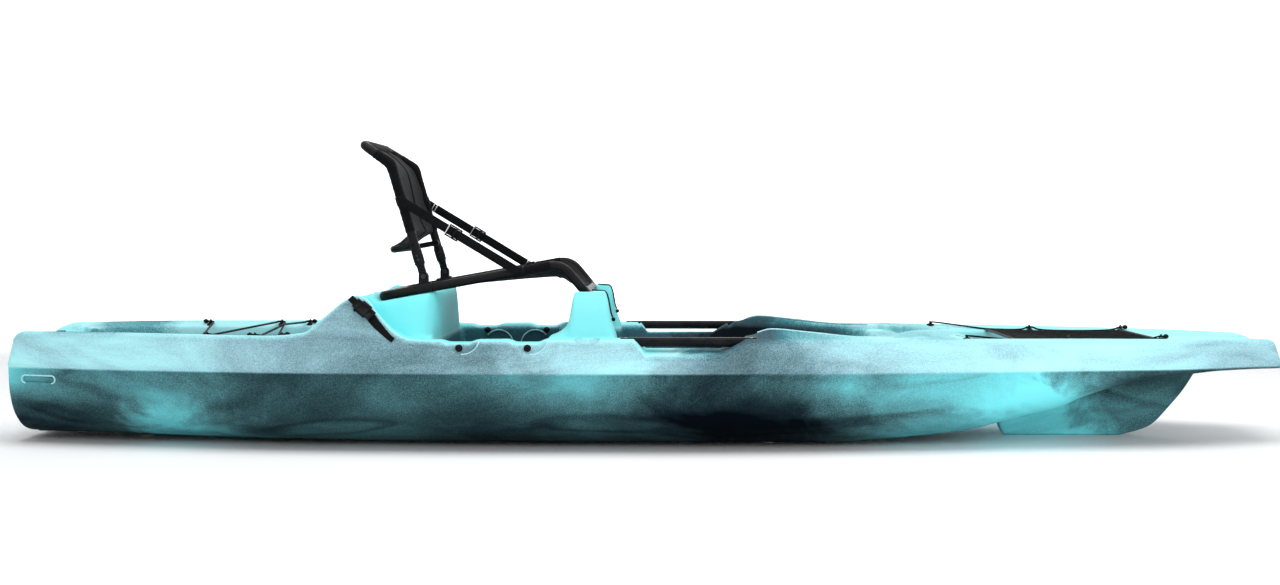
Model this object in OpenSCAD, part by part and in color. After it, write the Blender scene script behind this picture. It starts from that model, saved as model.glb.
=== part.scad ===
// Sit-on-top fishing kayak with a raised folding frame seat

/* [Hull] */
// Overall length
hull_l = 3500; // [3400:10:3700]
// Beam over the chines
beam = 890; // [850:5:940]
// Width of the transom at the chine
stern_w = 500; // [460:5:540]
// Width of the bow platform at its tip
bow_w = 340; // [310:5:370]
// Height of the chine
chine_z = 212; // [205:1:220]
// Height of the gunwale
gunwale_z = 298; // [290:1:306]
// Distance of the gunwale's edge inboard of the chine
tumblehome = 40; // [30:1:50]
// Width of the flat bottom
flat_w = 260; // [220:5:300]
// Width of the side deck, from its outer edge to the wells
side_deck_w = 85; // [78:1:92]
// Rise of the bottom at the transom
stern_rise = 20; // [17:1:26]
// Height of the underside of the bow platform
platform_z = 200; // [190:1:203]

/* [Wells] */
// Floor height of the rear tankwell
tank_floor_z = 150; // [120:1:180]
// Floor height of the cockpit
cockpit_floor_z = 110; // [90:1:130]
// Depth of the bow well below its deck at the rear end
bow_well_depth = 140; // [110:1:160]
// Diameter of the scupper drains
scupper_d = 32; // [26:1:40]

/* [Shoulders] */
// Height of the shoulder ridges beside the seat
hump_z = 412; // [390:1:425]
// Height of the coaming at the front of the cockpit
coaming_z = 320; // [312:1:330]

/* [Bow fin] */
// Thickness of the fin along its bottom edge
fin_w = 34; // [28:1:44]
// Length of the fin's straight bottom edge
fin_l = 312; // [290:1:340]

/* [Seat] */
// Position of the backrest hinge along the hull
seat_x = -612; // [-625:1:-600]
// Outside diameter of the seat tubes
seat_tube_d = 25; // [22:0.5:27]
// Distance between the side tubes, centre to centre
seat_w = 440; // [420:2:460]
// Height of the rear crossbar's centre
seat_rear_z = 403; // [398:1:408]
// Height of the crest of the side tubes
seat_crest_z = 492; // [480:1:500]
// Length of the backrest uprights
back_l = 318; // [290:1:340]
// Backward lean of the uprights in degrees
back_lean = 16; // [10:0.5:20]
// Length of the headrest bend
head_l = 94; // [80:1:110]
// Sag of the seat sling
sling_sag = 22; // [12:1:30]
// Diameter of the hinge pins
pin_d = 8; // [6:0.5:9]
// Width of the webbing
web_w = 25; // [20:1:28]
// Thickness of the webbing
web_t = 2; // [1.5:0.1:2.5]

/* [Rails] */
// Diameter of the accessory rails
rail_d = 25.4; // [22:0.2:28]
// Length of each rail
rail_l = 360; // [320:2:400]
// Position of the middle of the rails along the hull
rail_x = 108; // [100:1:116]

/* [Hardware] */
// Diameter of the gunwale through bolts
bolt_d = 8; // [6:0.5:10]
// Diameter of the drain plug's shank
plug_d = 24; // [20:0.5:28]
// Diameter of the tankwell bungee
bungee_d = 6; // [5:0.5:7]
// Thickness of the stern skid plate
skid_t = 5; // [4:0.5:8]

/* [Hidden] */
$fn = 48;

// Clearances
slip = 0.3;
seat_gap = 0.5;
pin_gap = 0.05;

// Datum points along the hull
stern = -hull_l / 2;
bow = hull_l / 2;
half_beam = beam / 2;
crossbar_x = seat_x - 115;
hump_x = seat_x - 163;
block_x0 = seat_x - 178;
block_x1 = seat_x + 46;
crest_x = seat_x + 376;
foot_x = seat_x + 443;
foot_z = 412;
tank_x0 = stern + 140;
tank_x1 = seat_x - 348;
cockpit_x0 = seat_x + 60;
cockpit_x1 = rail_x + 452;
coaming_x = rail_x + 221;
bow_well_x0 = bow - 1000;
bow_well_x1 = bow - 360;
fin_x0 = bow - 760;
fin_x1 = fin_x0 + 28;
fin_x2 = fin_x1 + fin_l;
fin_x3 = fin_x2 + 236;
well_run = 30;
deck_z = gunwale_z - 14;
tube_r = seat_tube_d / 2;
tube_slope = (seat_crest_z - seat_rear_z) / (crest_x - crossbar_x);
function base_tube_z(x) = seat_rear_z + tube_slope * (x - crossbar_x);

// Monotone curve through [x, value] points
function rate(p, i) = (p[i + 1][1] - p[i][1]) / (p[i + 1][0] - p[i][0]);
function bend_rate(a, b) = a * b <= 0 ? 0 : 2 * a * b / (a + b);
function knot_rate(p, i) =
    i == 0 ? rate(p, 0) : i == len(p) - 1 ? rate(p, i - 1) : bend_rate(rate(p, i - 1), rate(p, i));
function span(p, x, i = 0) = i >= len(p) - 2 || x < p[i + 1][0] ? i : span(p, x, i + 1);
function fair(p, x) =
    let (i = span(p, x), h = p[i + 1][0] - p[i][0], t = min(1, max(0, (x - p[i][0]) / h)))
    let (s = t * t * (3 - 2 * t), a = p[i][1], b = p[i + 1][1])
    a + (b - a) * s + h * t * (1 - t) * ((1 - t) * knot_rate(p, i) - t * knot_rate(p, i + 1));

// Lines of the hull, each as points along its length
plan_line = [
    [stern, stern_w / 2 - 14], [stern + 14, stern_w / 2 - 3], [stern + 60, stern_w / 2 + 12],
    [stern + 0.12 * hull_l, 0.79 * half_beam], [stern + 0.26 * hull_l, 0.955 * half_beam],
    [stern + 0.4 * hull_l, 0.995 * half_beam], [stern + 0.5 * hull_l, half_beam],
    [stern + 0.6 * hull_l, 0.97 * half_beam], [stern + 0.71 * hull_l, 0.885 * half_beam],
    [stern + 0.83 * hull_l, 0.745 * half_beam], [bow - 315, 0.64 * half_beam],
    [bow - 80, bow_w / 2 + 26], [bow - 25, bow_w / 2 + 12], [bow, bow_w / 2 - 18]
];
bottom_line = [
    [stern, stern_rise + 14], [stern + 8, stern_rise + 4], [stern + 24, stern_rise],
    [stern + 200, stern_rise - 3], [stern + 850, 5], [stern + 1500, 0], [bow - 1230, 0],
    [bow - 1105, 0.04 * platform_z], [bow - 882, 0.15 * platform_z], [bow - 798, 0.25 * platform_z],
    [bow - 637, 0.45 * platform_z], [bow - 558, 0.625 * platform_z], [bow - 461, 0.78 * platform_z],
    [bow - 319, 0.91 * platform_z], [bow - 190, 0.99 * platform_z], [bow, platform_z + 2]
];
fin_line = [
    [fin_x0, 0.3 * platform_z], [fin_x0 + 10, 0.1 * platform_z], [fin_x1, 0], [fin_x2, 0],
    [fin_x2 + 45, 0.04 * platform_z], [fin_x2 + 95, 0.13 * platform_z], [fin_x2 + 152, 0.415 * platform_z],
    [fin_x2 + 190, 0.65 * platform_z], [fin_x2 + 218, 0.87 * platform_z], [fin_x3, platform_z]
];
hump_rise = hump_z - gunwale_z;
sheer_line = [
    [stern, gunwale_z - 10], [stern + 12, gunwale_z + 1], [stern + 36, gunwale_z + 8],
    [stern + 300, gunwale_z + 9], [hump_x - 235, gunwale_z + 6], [hump_x - 138, gunwale_z + 0.13 * hump_rise],
    [hump_x - 86, gunwale_z + 0.47 * hump_rise], [hump_x - 25, gunwale_z + 0.9 * hump_rise], [hump_x, hump_z],
    [hump_x + 30, gunwale_z + 0.92 * hump_rise], [hump_x + 62, gunwale_z + 0.58 * hump_rise],
    [hump_x + 107, gunwale_z + 0.18 * hump_rise], [hump_x + 146, gunwale_z + 1],
    [hump_x + 227, gunwale_z - 4],
    [rail_x - 260, gunwale_z], [rail_x + 300, gunwale_z], [bow - 612, gunwale_z - 5],
    [bow - 330, gunwale_z - 9], [bow - 45, gunwale_z - 15], [bow - 24, gunwale_z - 21],
    [bow - 10, chine_z + 42], [bow, chine_z + 12]
];
inner_line = [
    [stern, -4], [stern + 150, -12], [hump_x - 300, -14], [hump_x - 180, -12], [hump_x, -24],
    [hump_x + 150, 0], [rail_x + 90, 0], [rail_x + 160, 6],
    [coaming_x, coaming_z - gunwale_z], [coaming_x + 100, 0.6 * (coaming_z - gunwale_z)],
    [coaming_x + 244, 0],
    [bow_well_x0, -2], [bow_well_x0 + 150, -14], [bow - 200, -13], [bow, 0]
];
floor_line = [
    [stern, deck_z - 4], [tank_x0 - well_run, deck_z], [tank_x0, tank_floor_z], [tank_x1, tank_floor_z],
    [tank_x1 + well_run, gunwale_z], [cockpit_x0 - well_run, gunwale_z], [cockpit_x0, cockpit_floor_z],
    [cockpit_x1, cockpit_floor_z], [cockpit_x1 + 3 * well_run, deck_z], [bow_well_x0 - well_run, deck_z],
    [bow_well_x0, deck_z - bow_well_depth], [bow - 650, deck_z - 0.86 * bow_well_depth],
    [bow - 450, deck_z - 0.42 * bow_well_depth], [bow_well_x1, deck_z - 0.4 * bow_well_depth],
    [bow_well_x1 + well_run, deck_z - 8], [bow - 45, deck_z - 9], [bow - 24, gunwale_z - 30],
    [bow - 10, chine_z + 34], [bow, chine_z + 6]
];
crown_line = [
    [cockpit_x0, 0], [cockpit_x0 + 80, 22], [cockpit_x1 - 80, 22], [cockpit_x1, 0]
];
camber_line = [[stern, 3], [stern + 45, 0], [bow - 48, 0], [bow, 3]];
function half_breadth(x) = fair(plan_line, x);
function bottom_z(x) = fair(bottom_line, x);
function keel_z(x) = x < fin_x0 || x > fin_x3 ? bottom_z(x) : min(bottom_z(x), fair(fin_line, x));
function sheer_z(x) = fair(sheer_line, x);
function inner_z(x) = sheer_z(x) + fair(inner_line, x);
function edge_y(x) =
    let (rise = (sheer_z(x) - chine_z) / (gunwale_z - chine_z))
    half_breadth(x) - tumblehome * (0.5 + 0.5 * rise);
function wall_y(x) = max(48, edge_y(x) - side_deck_w);

// Rounded ends of the wells: position, way into the well, corner radius
end_fade = 60;
well_ends = [[tank_x0, 1, 110], [bow_well_x0, 1, 90], [bow_well_x1, -1, 80]];
function end_in(d, r) =
    d >= r ? 0 : d >= 0 ? r - sqrt(r * r - (r - d) * (r - d)) : r * max(0, 1 + d / end_fade);
function inner_y(x) =
    max(30, wall_y(x) - max([for (e = well_ends) end_in((x - e[0]) * e[1], e[2])]));
deck_round = 16;
deck_corner = 14;
deck_lip = 10;
function side_deck_z(x, y) =
    let (t = (y - inner_y(x) - deck_lip) / (edge_y(x) - deck_round - inner_y(x) - deck_lip))
    inner_z(x) + (sheer_z(x) - inner_z(x)) * min(1, max(0, t));

// Half of the hull's section at x, from the keel round to the middle of the deck
bilge_steps = 5;
function half_section(x) =
    let (hw = half_breadth(x), zb = bottom_z(x), zk = keel_z(x), zg = sheer_z(x), zi = inner_z(x))
    let (zc = min(chine_z, zg - 18), yo = edge_y(x), gi = inner_y(x), wb = gi - 22, zf = fair(floor_line, x))
    let (fw = fin_w / 2, yf = max(fw + 40, min(flat_w / 2, 0.3 * hw)), ze = max(zi - 8, zf))
    let (keel = [[0, zk], [fw - 4, zk], [fw, zk + min(6, (zb - zk) / 3)], [fw + 7, zb - 0.2 * (zb - zk)]])
    concat(
        [for (p = concat(keel, [[fw + 30, zb], [yf, zb]])) p + [0, fair(camber_line, x) * pow(p[0] / yf, 2)]],
        [for (j = [1:bilge_steps])
            let (t = 90 * j / (bilge_steps + 1))
            [yf + (hw - yf) * pow(sin(t), 0.85), zc - (zc - zb) * pow(cos(t), 0.85)]],
        [[hw, zc], [yo, zg - deck_corner], [yo - 5, zg - 4], [yo - deck_round, zg], [gi + deck_lip, zi], [gi, ze]],
        [[wb + 4, min(zf + 16, ze)], [wb - 14, zf], [wb / 2 - 7, zf], [0, zf + fair(crown_line, x)]]
    );

// Stations of the loft, closer together where the form turns
function shifted(x, steps) = [for (s = steps) x + s];
function sorted(v) =
    len(v) < 2 ? v : let (p = v[0], r = [for (i = [1:len(v) - 1]) v[i]])
    concat(sorted([for (a = r) if (a < p) a]), [p], sorted([for (a = r) if (a >= p) a]));
station_gap = 6;
raw_stations = sorted(concat(
    shifted(stern, [0, 8, 24, 45, 90]),
    shifted(tank_x0, [-30, -20, -10, 0, 7, 20, 40, 70, 110]),
    shifted(tank_x1, [0, 10, 20, 30]),
    shifted(hump_x, [-235, -185, -138, -112, -86, -55, -25, 0, 15, 30, 46, 62, 85, 107, 146, 227]),
    shifted(cockpit_x0, [-30, -20, -10, 0, 80]), shifted(cockpit_x1, [-80, 0, 30, 60, 90]),
    shifted(coaming_x, [-131, -61, -30, 0, 40, 100, 170, 244]),
    shifted(bow_well_x0, [-60, -30, -15, 0, 7, 20, 50, 90]),
    shifted(bow_well_x1, [-80, -44, -18, -6, 0, 15, 30]),
    shifted(fin_x0, [-7, 0, 10, 19, 28]),
    shifted(fin_x2, [0, 22, 45, 70, 95, 124, 152, 171, 190, 204, 218, 236]),
    shifted(bow, [-315, -150, -80, -45, -34, -24, -17, -10, 0]),
    [for (k = [1:26]) stern + k * hull_l / 27]
));
stations = [
    for (i = [0:len(raw_stations) - 1])
        if (i == 0 || i == len(raw_stations) - 1 ||
            (raw_stations[i] - raw_stations[i - 1] >= station_gap && bow - raw_stations[i] > 0))
            raw_stations[i]
];

// Closed skin through rings of equal length, with a fan at each end
module skin(rings) {
    n = len(rings[0]);
    m = len(rings);
    points = [for (r = rings) each r];
    sides = [
        for (i = [0:m - 2], k = [0:n - 1])
            let (a = i * n + k, b = i * n + (k + 1) % n)
            each [[a, a + n, b], [b, a + n, b + n]]
    ];
    first = [for (k = [1:n - 2]) [0, k, k + 1]];
    last = [for (k = [1:n - 2]) let (o = (m - 1) * n) [o, o + k + 1, o + k]];
    polyhedron(points, concat(sides, first, last), convexity = 10);
}
function ring_at(x) =
    let (h = half_section(x), n = len(h))
    concat(
        [for (p = h) [x, p[0], p[1]]],
        [for (k = [n - 2:-1:1]) [x, -h[k][0], h[k][1]]]
    );
module hull_form() {
    skin([for (x = stations) ring_at(x)]);
}

// Shared placing helpers
module both() {
    children();
    mirror([0, 1, 0]) children();
}
module across(w) {
    rotate([90, 0, 0]) linear_extrude(w, center = true) children();
}
module along_y(r, l) {
    rotate([90, 0, 0]) cylinder(r = r, h = l, center = true);
}
function unit(v) = v / norm(v);
module rod(a, b, r) {
    d = b - a;
    translate(a) rotate([0, acos(d[2] / norm(d)), atan2(d[1], d[0])]) cylinder(r = r, h = norm(d));
}
module elbow(p, d1, d2, bend, r) {
    turn = acos(d1 * d2);
    n = unit(d2 - d1 * (d1 * d2));
    c = p - d1 * bend * tan(turn / 2) + n * bend;
    z = cross(-n, d1);
    multmatrix([
        [-n[0], d1[0], z[0], c[0]], [-n[1], d1[1], z[1], c[1]], [-n[2], d1[2], z[2], c[2]], [0, 0, 0, 1]
    ]) rotate_extrude(angle = turn) translate([bend, 0]) circle(r = r - bend_step);
}
// Bent tube through corner points with a bend radius at each, its straight legs let into the bends
bend_step = 0.05;
bend_lap = 1;
module bent_tube(p, bends, r, closed = false) {
    n = len(p);
    legs = closed ? n : n - 1;
    function way(i) = unit(p[(i + 1) % n] - p[i]);
    function trim(i) =
        !closed && (i == 0 || i == n - 1) ? 0 :
        bends[i] * tan(acos(way((i + n - 1) % n) * way(i)) / 2);
    function lap(i) = trim(i) > 0 ? trim(i) - bend_lap : 0;
    for (i = [0:legs - 1])
        rod(p[i] + way(i) * lap(i), p[(i + 1) % n] - way(i) * lap((i + 1) % n), r);
    for (i = closed ? [0:n - 1] : [1:n - 2])
        elbow(p[i], way((i + n - 1) % n), way(i), bends[i], r);
}
// Round cord swept through hand-placed points
cord_sides = 8;
function cord_way(p, i) =
    unit(p[min(i + 1, len(p) - 1)] - p[max(i - 1, 0)]);
function cord_ring(p, i, r) =
    let (t = cord_way(p, i), side = unit(cross(abs(t[2]) > 0.9 ? [1, 0, 0] : [0, 0, 1], t)))
    let (up = cross(t, side))
    [for (k = [0:cord_sides - 1])
        p[i] + r * (cos(360 * k / cord_sides) * side + sin(360 * k / cord_sides) * up)];
module cord(p, r) {
    skin([for (i = [0:len(p) - 1]) cord_ring(p, i, r)]);
}

// Hull
block_w = wall_y(hump_x) + 6;
block_corner = 90;
block_lip = 2;
pedestal_y = seat_w / 2 + 20;
pedestal_w = 110;
pedestal_z = foot_z + 6;
rail_y = half_breadth(rail_x) - tumblehome - side_deck_w / 2;
rail_z = gunwale_z - 9;
rail_arch = 258;
slot_l = 98;
slot_h = 18;
scuppers = [
    [stern + 330, 70], [stern + 690, 90], [cockpit_x0 + 130, 200], [cockpit_x0 + 880, 180], [bow - 880, 90]
];
bolt_x = [seat_x + 117, seat_x + 297];
bolt_z = gunwale_z - 23;
function bolt_seat_y(x) = edge_y(x) - 4;
function nut_seat_y(x) = wall_y(x) + 1;
dish_x = [bolt_x[0] + 32, bolt_x[1] - 16];
dish_r = 55;
dish_z = gunwale_z - 58;
scoop_r = 44;
scoop_z = gunwale_z + 5;
notch_z = gunwale_z - 10;
plug_x = stern + 62;
plug_l = 40;

module seat_block_plan() {
    translate([block_x0, -block_w]) square([block_x1 - block_x0 - block_corner, 2 * block_w]);
    translate([block_x0, block_corner - block_w])
        square([block_x1 - block_x0, 2 * (block_w - block_corner)]);
    for (s = [-1, 1])
        translate([block_x1 - block_corner, s * (block_w - block_corner)]) circle(r = block_corner, $fn = 64);
}
module seat_block() {
    rest = (tube_r + seat_gap) / cos(atan(tube_slope));
    lip_x = crossbar_x - tube_r - seat_gap - 2;
    intersection() {
        translate([0, 0, cockpit_floor_z - 40]) linear_extrude(hump_z) seat_block_plan();
        across(3 * block_w) polygon([
            [block_x0 - 20, cockpit_floor_z - 30], [block_x1 + 20, cockpit_floor_z - 30],
            [block_x1 + 20, base_tube_z(block_x1 + 20) - rest], [lip_x, base_tube_z(lip_x) - rest],
            [lip_x, seat_rear_z + block_lip], [block_x0 - 20, seat_rear_z + block_lip]
        ]);
    }
}
module pedestal() {
    translate([0, pedestal_y, 0]) across(pedestal_w) polygon([
        [foot_x - 112, cockpit_floor_z - 30], [foot_x + 92, cockpit_floor_z - 30],
        [foot_x + 88, gunwale_z - 6],
        [foot_x + 68, gunwale_z + 40], [foot_x + 58, pedestal_z], [foot_x - 36, pedestal_z],
        [foot_x - 40, gunwale_z + 47], [foot_x - 52, gunwale_z + 24], [foot_x - 74, gunwale_z + 8],
        [foot_x - 104, gunwale_z - 3]
    ]);
    web = wall_y(foot_x) - pedestal_y;
    translate([0, pedestal_y + web / 2, 0]) across(web + 8) polygon([
        [foot_x - 112, cockpit_floor_z - 30], [foot_x + 92, cockpit_floor_z - 30],
        [foot_x + 88, gunwale_z - 10], [foot_x - 104, gunwale_z - 10]
    ]);
}
module foot_slot() {
    r = tube_r + seat_gap;
    translate([foot_x, pedestal_y, foot_z]) along_y(r, 3 * pedestal_w);
    translate([0, pedestal_y, 0]) across(3 * pedestal_w) polygon([
        [foot_x + r, foot_z], [foot_x + r, foot_z + 60], [foot_x - 60, foot_z + 60],
        [foot_x - r - 16, pedestal_z - 1], [foot_x - r, foot_z - 6]
    ]);
}
module rail_gap() {
    across_y = 3 * side_deck_w;
    translate([0, rail_y, 0]) across(across_y) polygon([
        [rail_x - rail_l / 2 + 30, gunwale_z + 40], [rail_x - rail_l / 2 + 36, gunwale_z],
        [rail_x - rail_l / 2 + 66, rail_arch], [rail_x + rail_l / 2 - 94, rail_arch],
        [rail_x + rail_l / 2 - 30, gunwale_z], [rail_x + rail_l / 2 - 20, gunwale_z + 40]
    ]);
}
module rail_bed() {
    r = rail_d / 2 + slip;
    translate([rail_x - rail_l / 2 - slip, rail_y, rail_z]) rotate([0, 90, 0])
        cylinder(r = r, h = rail_l + 2 * slip);
    translate([rail_x - rail_l / 2 - slip, rail_y - r, rail_z]) cube([rail_l + 2 * slip, 2 * r, 60]);
}
module side_slot() {
    x = stern + 95;
    turn = atan((half_breadth(x + slot_l / 2) - half_breadth(x - slot_l / 2)) / slot_l);
    translate([x, half_breadth(x), chine_z - 33]) rotate([0, 0, turn]) translate([0, 20, 0])
        rotate([90, 0, 0])
        linear_extrude(30) union() {
            square([slot_l - slot_h, slot_h], center = true);
            for (s = [-1, 1]) translate([s * (slot_l - slot_h) / 2, 0]) circle(d = slot_h);
        }
}
// Scoop outside, dish inside and dip on top of the gunwale at each through bolt
module bolt_cuts(x) {
    translate([x, bolt_seat_y(x), scoop_z]) rotate([-90, 0, 0]) cylinder(r = scoop_r, h = 2 * scoop_r);
    translate([x, wall_y(x) + side_deck_w / 2, 0]) across(2 * side_deck_w) polygon([
        [-62, gunwale_z + 30], [-50, gunwale_z - 2], [-34, notch_z], [28, notch_z], [44, gunwale_z - 2],
        [56, gunwale_z + 30]
    ]);
    translate([x, wall_y(x), bolt_z]) along_y(bolt_d / 2 + slip, 4 * side_deck_w);
    translate([x, nut_seat_y(x), bolt_z]) rotate([90, 0, 0]) cylinder(d = head_d + 6, h = 40);
}
module wall_dish(x) {
    translate([x, nut_seat_y(x), dish_z]) rotate([90, 0, 0]) cylinder(r = dish_r, h = 60);
}
module hull_body() color("mediumturquoise") difference() {
    union() {
        hull_form();
        seat_block();
        both() pedestal();
    }
    both() {
        foot_slot();
        rail_gap();
        rail_bed();
        side_slot();
        for (x = bolt_x) bolt_cuts(x);
        for (x = dish_x) wall_dish(x);
        for (s = scuppers)
            translate([s[0], s[1], -1]) cylinder(d = scupper_d, h = gunwale_z);
        for (e = [-1, 1])
            translate([rail_x + e * (rail_l / 2 - 14), rail_y, rail_z - rail_d]) cylinder(d = 5, h = 40);
    }
    translate([plug_x, 0, plug_seat - plug_l - 5]) cylinder(d = plug_d + 2 * slip, h = plug_l + 50);
    translate([plug_x, 0, plug_seat]) cylinder(d = plug_flange_d + 6, h = 50);
}

// Stern wear plate and drain plug
skid_w = 150;
skid_steps = [8, 24, 45, 90, 110, 140];
function skid_point(s, drop) = [stern + s, bottom_z(stern + s) - slip - drop];
module skid_plate() color("black") across(skid_w) polygon(concat(
    [for (s = skid_steps) skid_point(s, 0)],
    [skid_point(140 - skid_t, skid_t), skid_point(24, skid_t), skid_point(8, skid_t - 3)]
));
plug_flange_d = plug_d + 16;
plug_seat = deck_z - 6;
gasket_t = 2;
plug_flange_t = 6;
module drain_gasket() color("dimgray") translate([plug_x, 0, plug_seat]) difference() {
    cylinder(d = plug_flange_d - 4, h = gasket_t);
    translate([0, 0, -1]) cylinder(d = plug_d + 2 * slip, h = gasket_t + 2);
}
module drain_plug() color("black") translate([plug_x, 0, plug_seat + gasket_t]) {
    translate([0, 0, -plug_l]) cylinder(d = plug_d, h = plug_l + 1);
    cylinder(d = plug_flange_d, h = plug_flange_t);
    translate([-plug_d / 2, -2.5, plug_flange_t - 1]) cube([plug_d, 5, 9]);
}

// Accessory rails and their bolts
module rail() {
    difference() {
        translate([rail_x - rail_l / 2, rail_y, rail_z]) rotate([0, 90, 0]) cylinder(d = rail_d, h = rail_l);
        for (e = [-1, 1])
            translate([rail_x + e * (rail_l / 2 - 14), rail_y, rail_z - rail_d]) {
                cylinder(d = 5 + 2 * slip, h = 2 * rail_d);
                translate([0, 0, rail_d + rail_d / 2 - 4]) cylinder(d = 11, h = 10);
            }
    }
}
module rail_left() color("black") rail();
module rail_right() color("black") mirror([0, 1, 0]) rail();
module rail_bolts() color("gray") both() for (e = [-1, 1])
    translate([rail_x + e * (rail_l / 2 - 14), rail_y, rail_z + rail_d / 2 - 4]) {
        cylinder(d = 10, h = 3);
        translate([0, 0, 4 - rail_d - rail_d / 2 + 1]) cylinder(d = 5 - slip, h = 1.5 * rail_d - 4);
    }

// Gunwale through bolts with button heads outside and cap nuts inside
head_d = 17;
head_t = 5;
nut_t = 8;
nut_cap = 3;
module gunwale_bolts() color("black") both() for (x = bolt_x) translate([x, 0, bolt_z]) {
    shank_0 = nut_seat_y(x) - slip - nut_t + nut_cap;
    shank_1 = bolt_seat_y(x) + slip + 1;
    translate([0, bolt_seat_y(x) + slip, 0]) rotate([-90, 0, 0])
        cylinder(d1 = head_d, d2 = head_d - 6, h = head_t);
    translate([0, (shank_0 + shank_1) / 2, 0]) along_y(bolt_d / 2, shank_1 - shank_0);
}
module gunwale_nuts() color("black") both() for (x = bolt_x)
    translate([x, nut_seat_y(x) - slip - nut_t, bolt_z]) rotate([-90, 0, 0]) difference() {
        cylinder(d1 = head_d - 4, d2 = head_d, h = nut_t);
        translate([0, 0, nut_cap - slip]) cylinder(d = bolt_d + 2 * slip, h = nut_t);
    }

// Places a piece on the side deck, square to its surface
module on_deck(x, y, lift) {
    lean = atan((side_deck_z(x, y + 2) - side_deck_z(x, y - 2)) / 4);
    pitch = atan((side_deck_z(x + 2, y) - side_deck_z(x - 2, y)) / 4);
    translate([x, y, side_deck_z(x, y)]) rotate([lean, -pitch, 0]) translate([0, 0, lift]) children();
}
function deck_point(x, y, lift) = [x, y, side_deck_z(x, abs(y)) + lift];

// Pad eyes and laced bungee over the tankwell
eye_l = 30;
eye_w = 12;
eye_t = 4;
eye_wire = 2;
eye_r = bungee_d + eye_wire + 2;
eye_in = 30;
eye_lift = 0.8;
port_eyes = shifted(tank_x1, [-367, -160, -76]);
starboard_eyes = shifted(tank_x1, [-231, -95, -19]);
function eye_y(x) = wall_y(x) + eye_in;
module pad_eye(x) on_deck(x, eye_y(x), eye_lift) {
    translate([0, 0, eye_t / 2]) cube([eye_w, eye_l, eye_t], center = true);
    translate([0, 0, eye_t]) rotate([90, 0, 90]) rotate_extrude(angle = 180)
        translate([eye_r, 0]) circle(r = eye_wire);
}
module stern_pad_eyes() color("black") {
    for (x = port_eyes) pad_eye(x);
    mirror([0, 1, 0]) for (x = starboard_eyes) pad_eye(x);
}
cord_seat = eye_lift + eye_t + slip + bungee_d / 2 + 0.4;
function through_eye(x, side, along, back) = deck_point(x + along, side * (eye_y(x) - 2 - back), cord_seat);
turn_r = 2 * bungee_d;
end_run = eye_w / 2 + slip;
function round_eye(x, side, a0, a1) = [
    for (a = [a0:30:a1]) through_eye(x, side, turn_r * sin(a), turn_r * (1 - cos(a)))
];
module stern_bungee() color("black") {
    cord(concat(
        [through_eye(port_eyes[0], 1, -end_run, 0)], round_eye(port_eyes[0], 1, 0, 90),
        round_eye(starboard_eyes[0], -1, -90, 90), round_eye(port_eyes[1], 1, -90, 90),
        round_eye(starboard_eyes[2], -1, -90, 0), [through_eye(starboard_eyes[2], -1, end_run, 0)]
    ), bungee_d / 2);
    cord(concat(
        [through_eye(starboard_eyes[1], -1, -end_run, 0)], round_eye(starboard_eyes[1], -1, 0, 90),
        [[(starboard_eyes[1] + port_eyes[2]) / 2, 0, through_eye(port_eyes[2], 1, 0, 0)[2] + 9]],
        round_eye(port_eyes[2], 1, -90, 0), [through_eye(port_eyes[2], 1, end_run, 0)]
    ), bungee_d / 2);
}
knob_d = 14;
module end_knob(x, side, way) {
    p = through_eye(x, side, way * end_run, 0);
    translate([p[0] + way * (slip + knob_d / 2), p[1], p[2]]) sphere(d = knob_d);
}
module bungee_knobs() color("black") {
    end_knob(port_eyes[0], 1, -1);
    end_knob(starboard_eyes[2], -1, 1);
    end_knob(starboard_eyes[1], -1, -1);
    end_knob(port_eyes[2], 1, 1);
}

// Elastic mesh cover over the bow well
mesh_t = 2;
mesh_lift = 1.7;
mesh_cord_d = 5;
mesh_cord_in = 16;
mesh_x0 = bow - 747;
mesh_x1 = bow - 352;
mesh_steps = [for (k = [0:6]) mesh_x0 + k * (mesh_x1 - mesh_x0) / 6];
bow_eyes = [bow - 612, bow - 352];
anchor_x = bow - 898;
anchor_y = edge_y(anchor_x) - 38;
anchor_t = 5;
anchor_post_d = 9;
function mesh_y(x) = wall_y(x) + mesh_cord_in - mesh_cord_d / 2 - slip;
function mesh_z(x) = side_deck_z(x, mesh_y(x)) + mesh_lift;
module bow_mesh_cover() color("black") skin([
    for (x = mesh_steps)
        [for (p = [[-1, 0], [1, 0], [1, mesh_t], [-1, mesh_t]]) [x, p[0] * mesh_y(x), mesh_z(x) + p[1]]]
]);
module bow_pad_eyes() color("black") both() for (x = bow_eyes) pad_eye(x);
module bow_cord_anchors() color("black") both() on_deck(anchor_x, anchor_y, mesh_lift) {
    cylinder(d = 22, h = anchor_t);
    cylinder(d = anchor_post_d, h = anchor_t + 7);
}
function mesh_cord_point(x, out) = deck_point(x, wall_y(x) + mesh_cord_in + out, slip + mesh_cord_d / 2);
module bow_mesh_cord() color("black") both() cord([
    deck_point(anchor_x + anchor_post_d / 2 + slip, anchor_y, mesh_lift + anchor_t + mesh_cord_d / 2 + 1),
    deck_point(anchor_x + 24, anchor_y, mesh_lift + anchor_t + mesh_cord_d / 2),
    mesh_cord_point(mesh_x0 - 10, 6), mesh_cord_point(mesh_x0 + 25, 0),
    mesh_cord_point(bow_eyes[0] - 26, 0), through_eye(bow_eyes[0], 1, -9, 4),
    through_eye(bow_eyes[0], 1, 0, 0),
    through_eye(bow_eyes[0], 1, 9, 4), mesh_cord_point(bow_eyes[0] + 26, 0),
    mesh_cord_point((bow_eyes[0] + bow_eyes[1]) / 2, 0),
    mesh_cord_point(bow_eyes[1] - 26, 0), through_eye(bow_eyes[1], 1, -9, 4),
    through_eye(bow_eyes[1], 1, end_run, 0)
], mesh_cord_d / 2);
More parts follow.
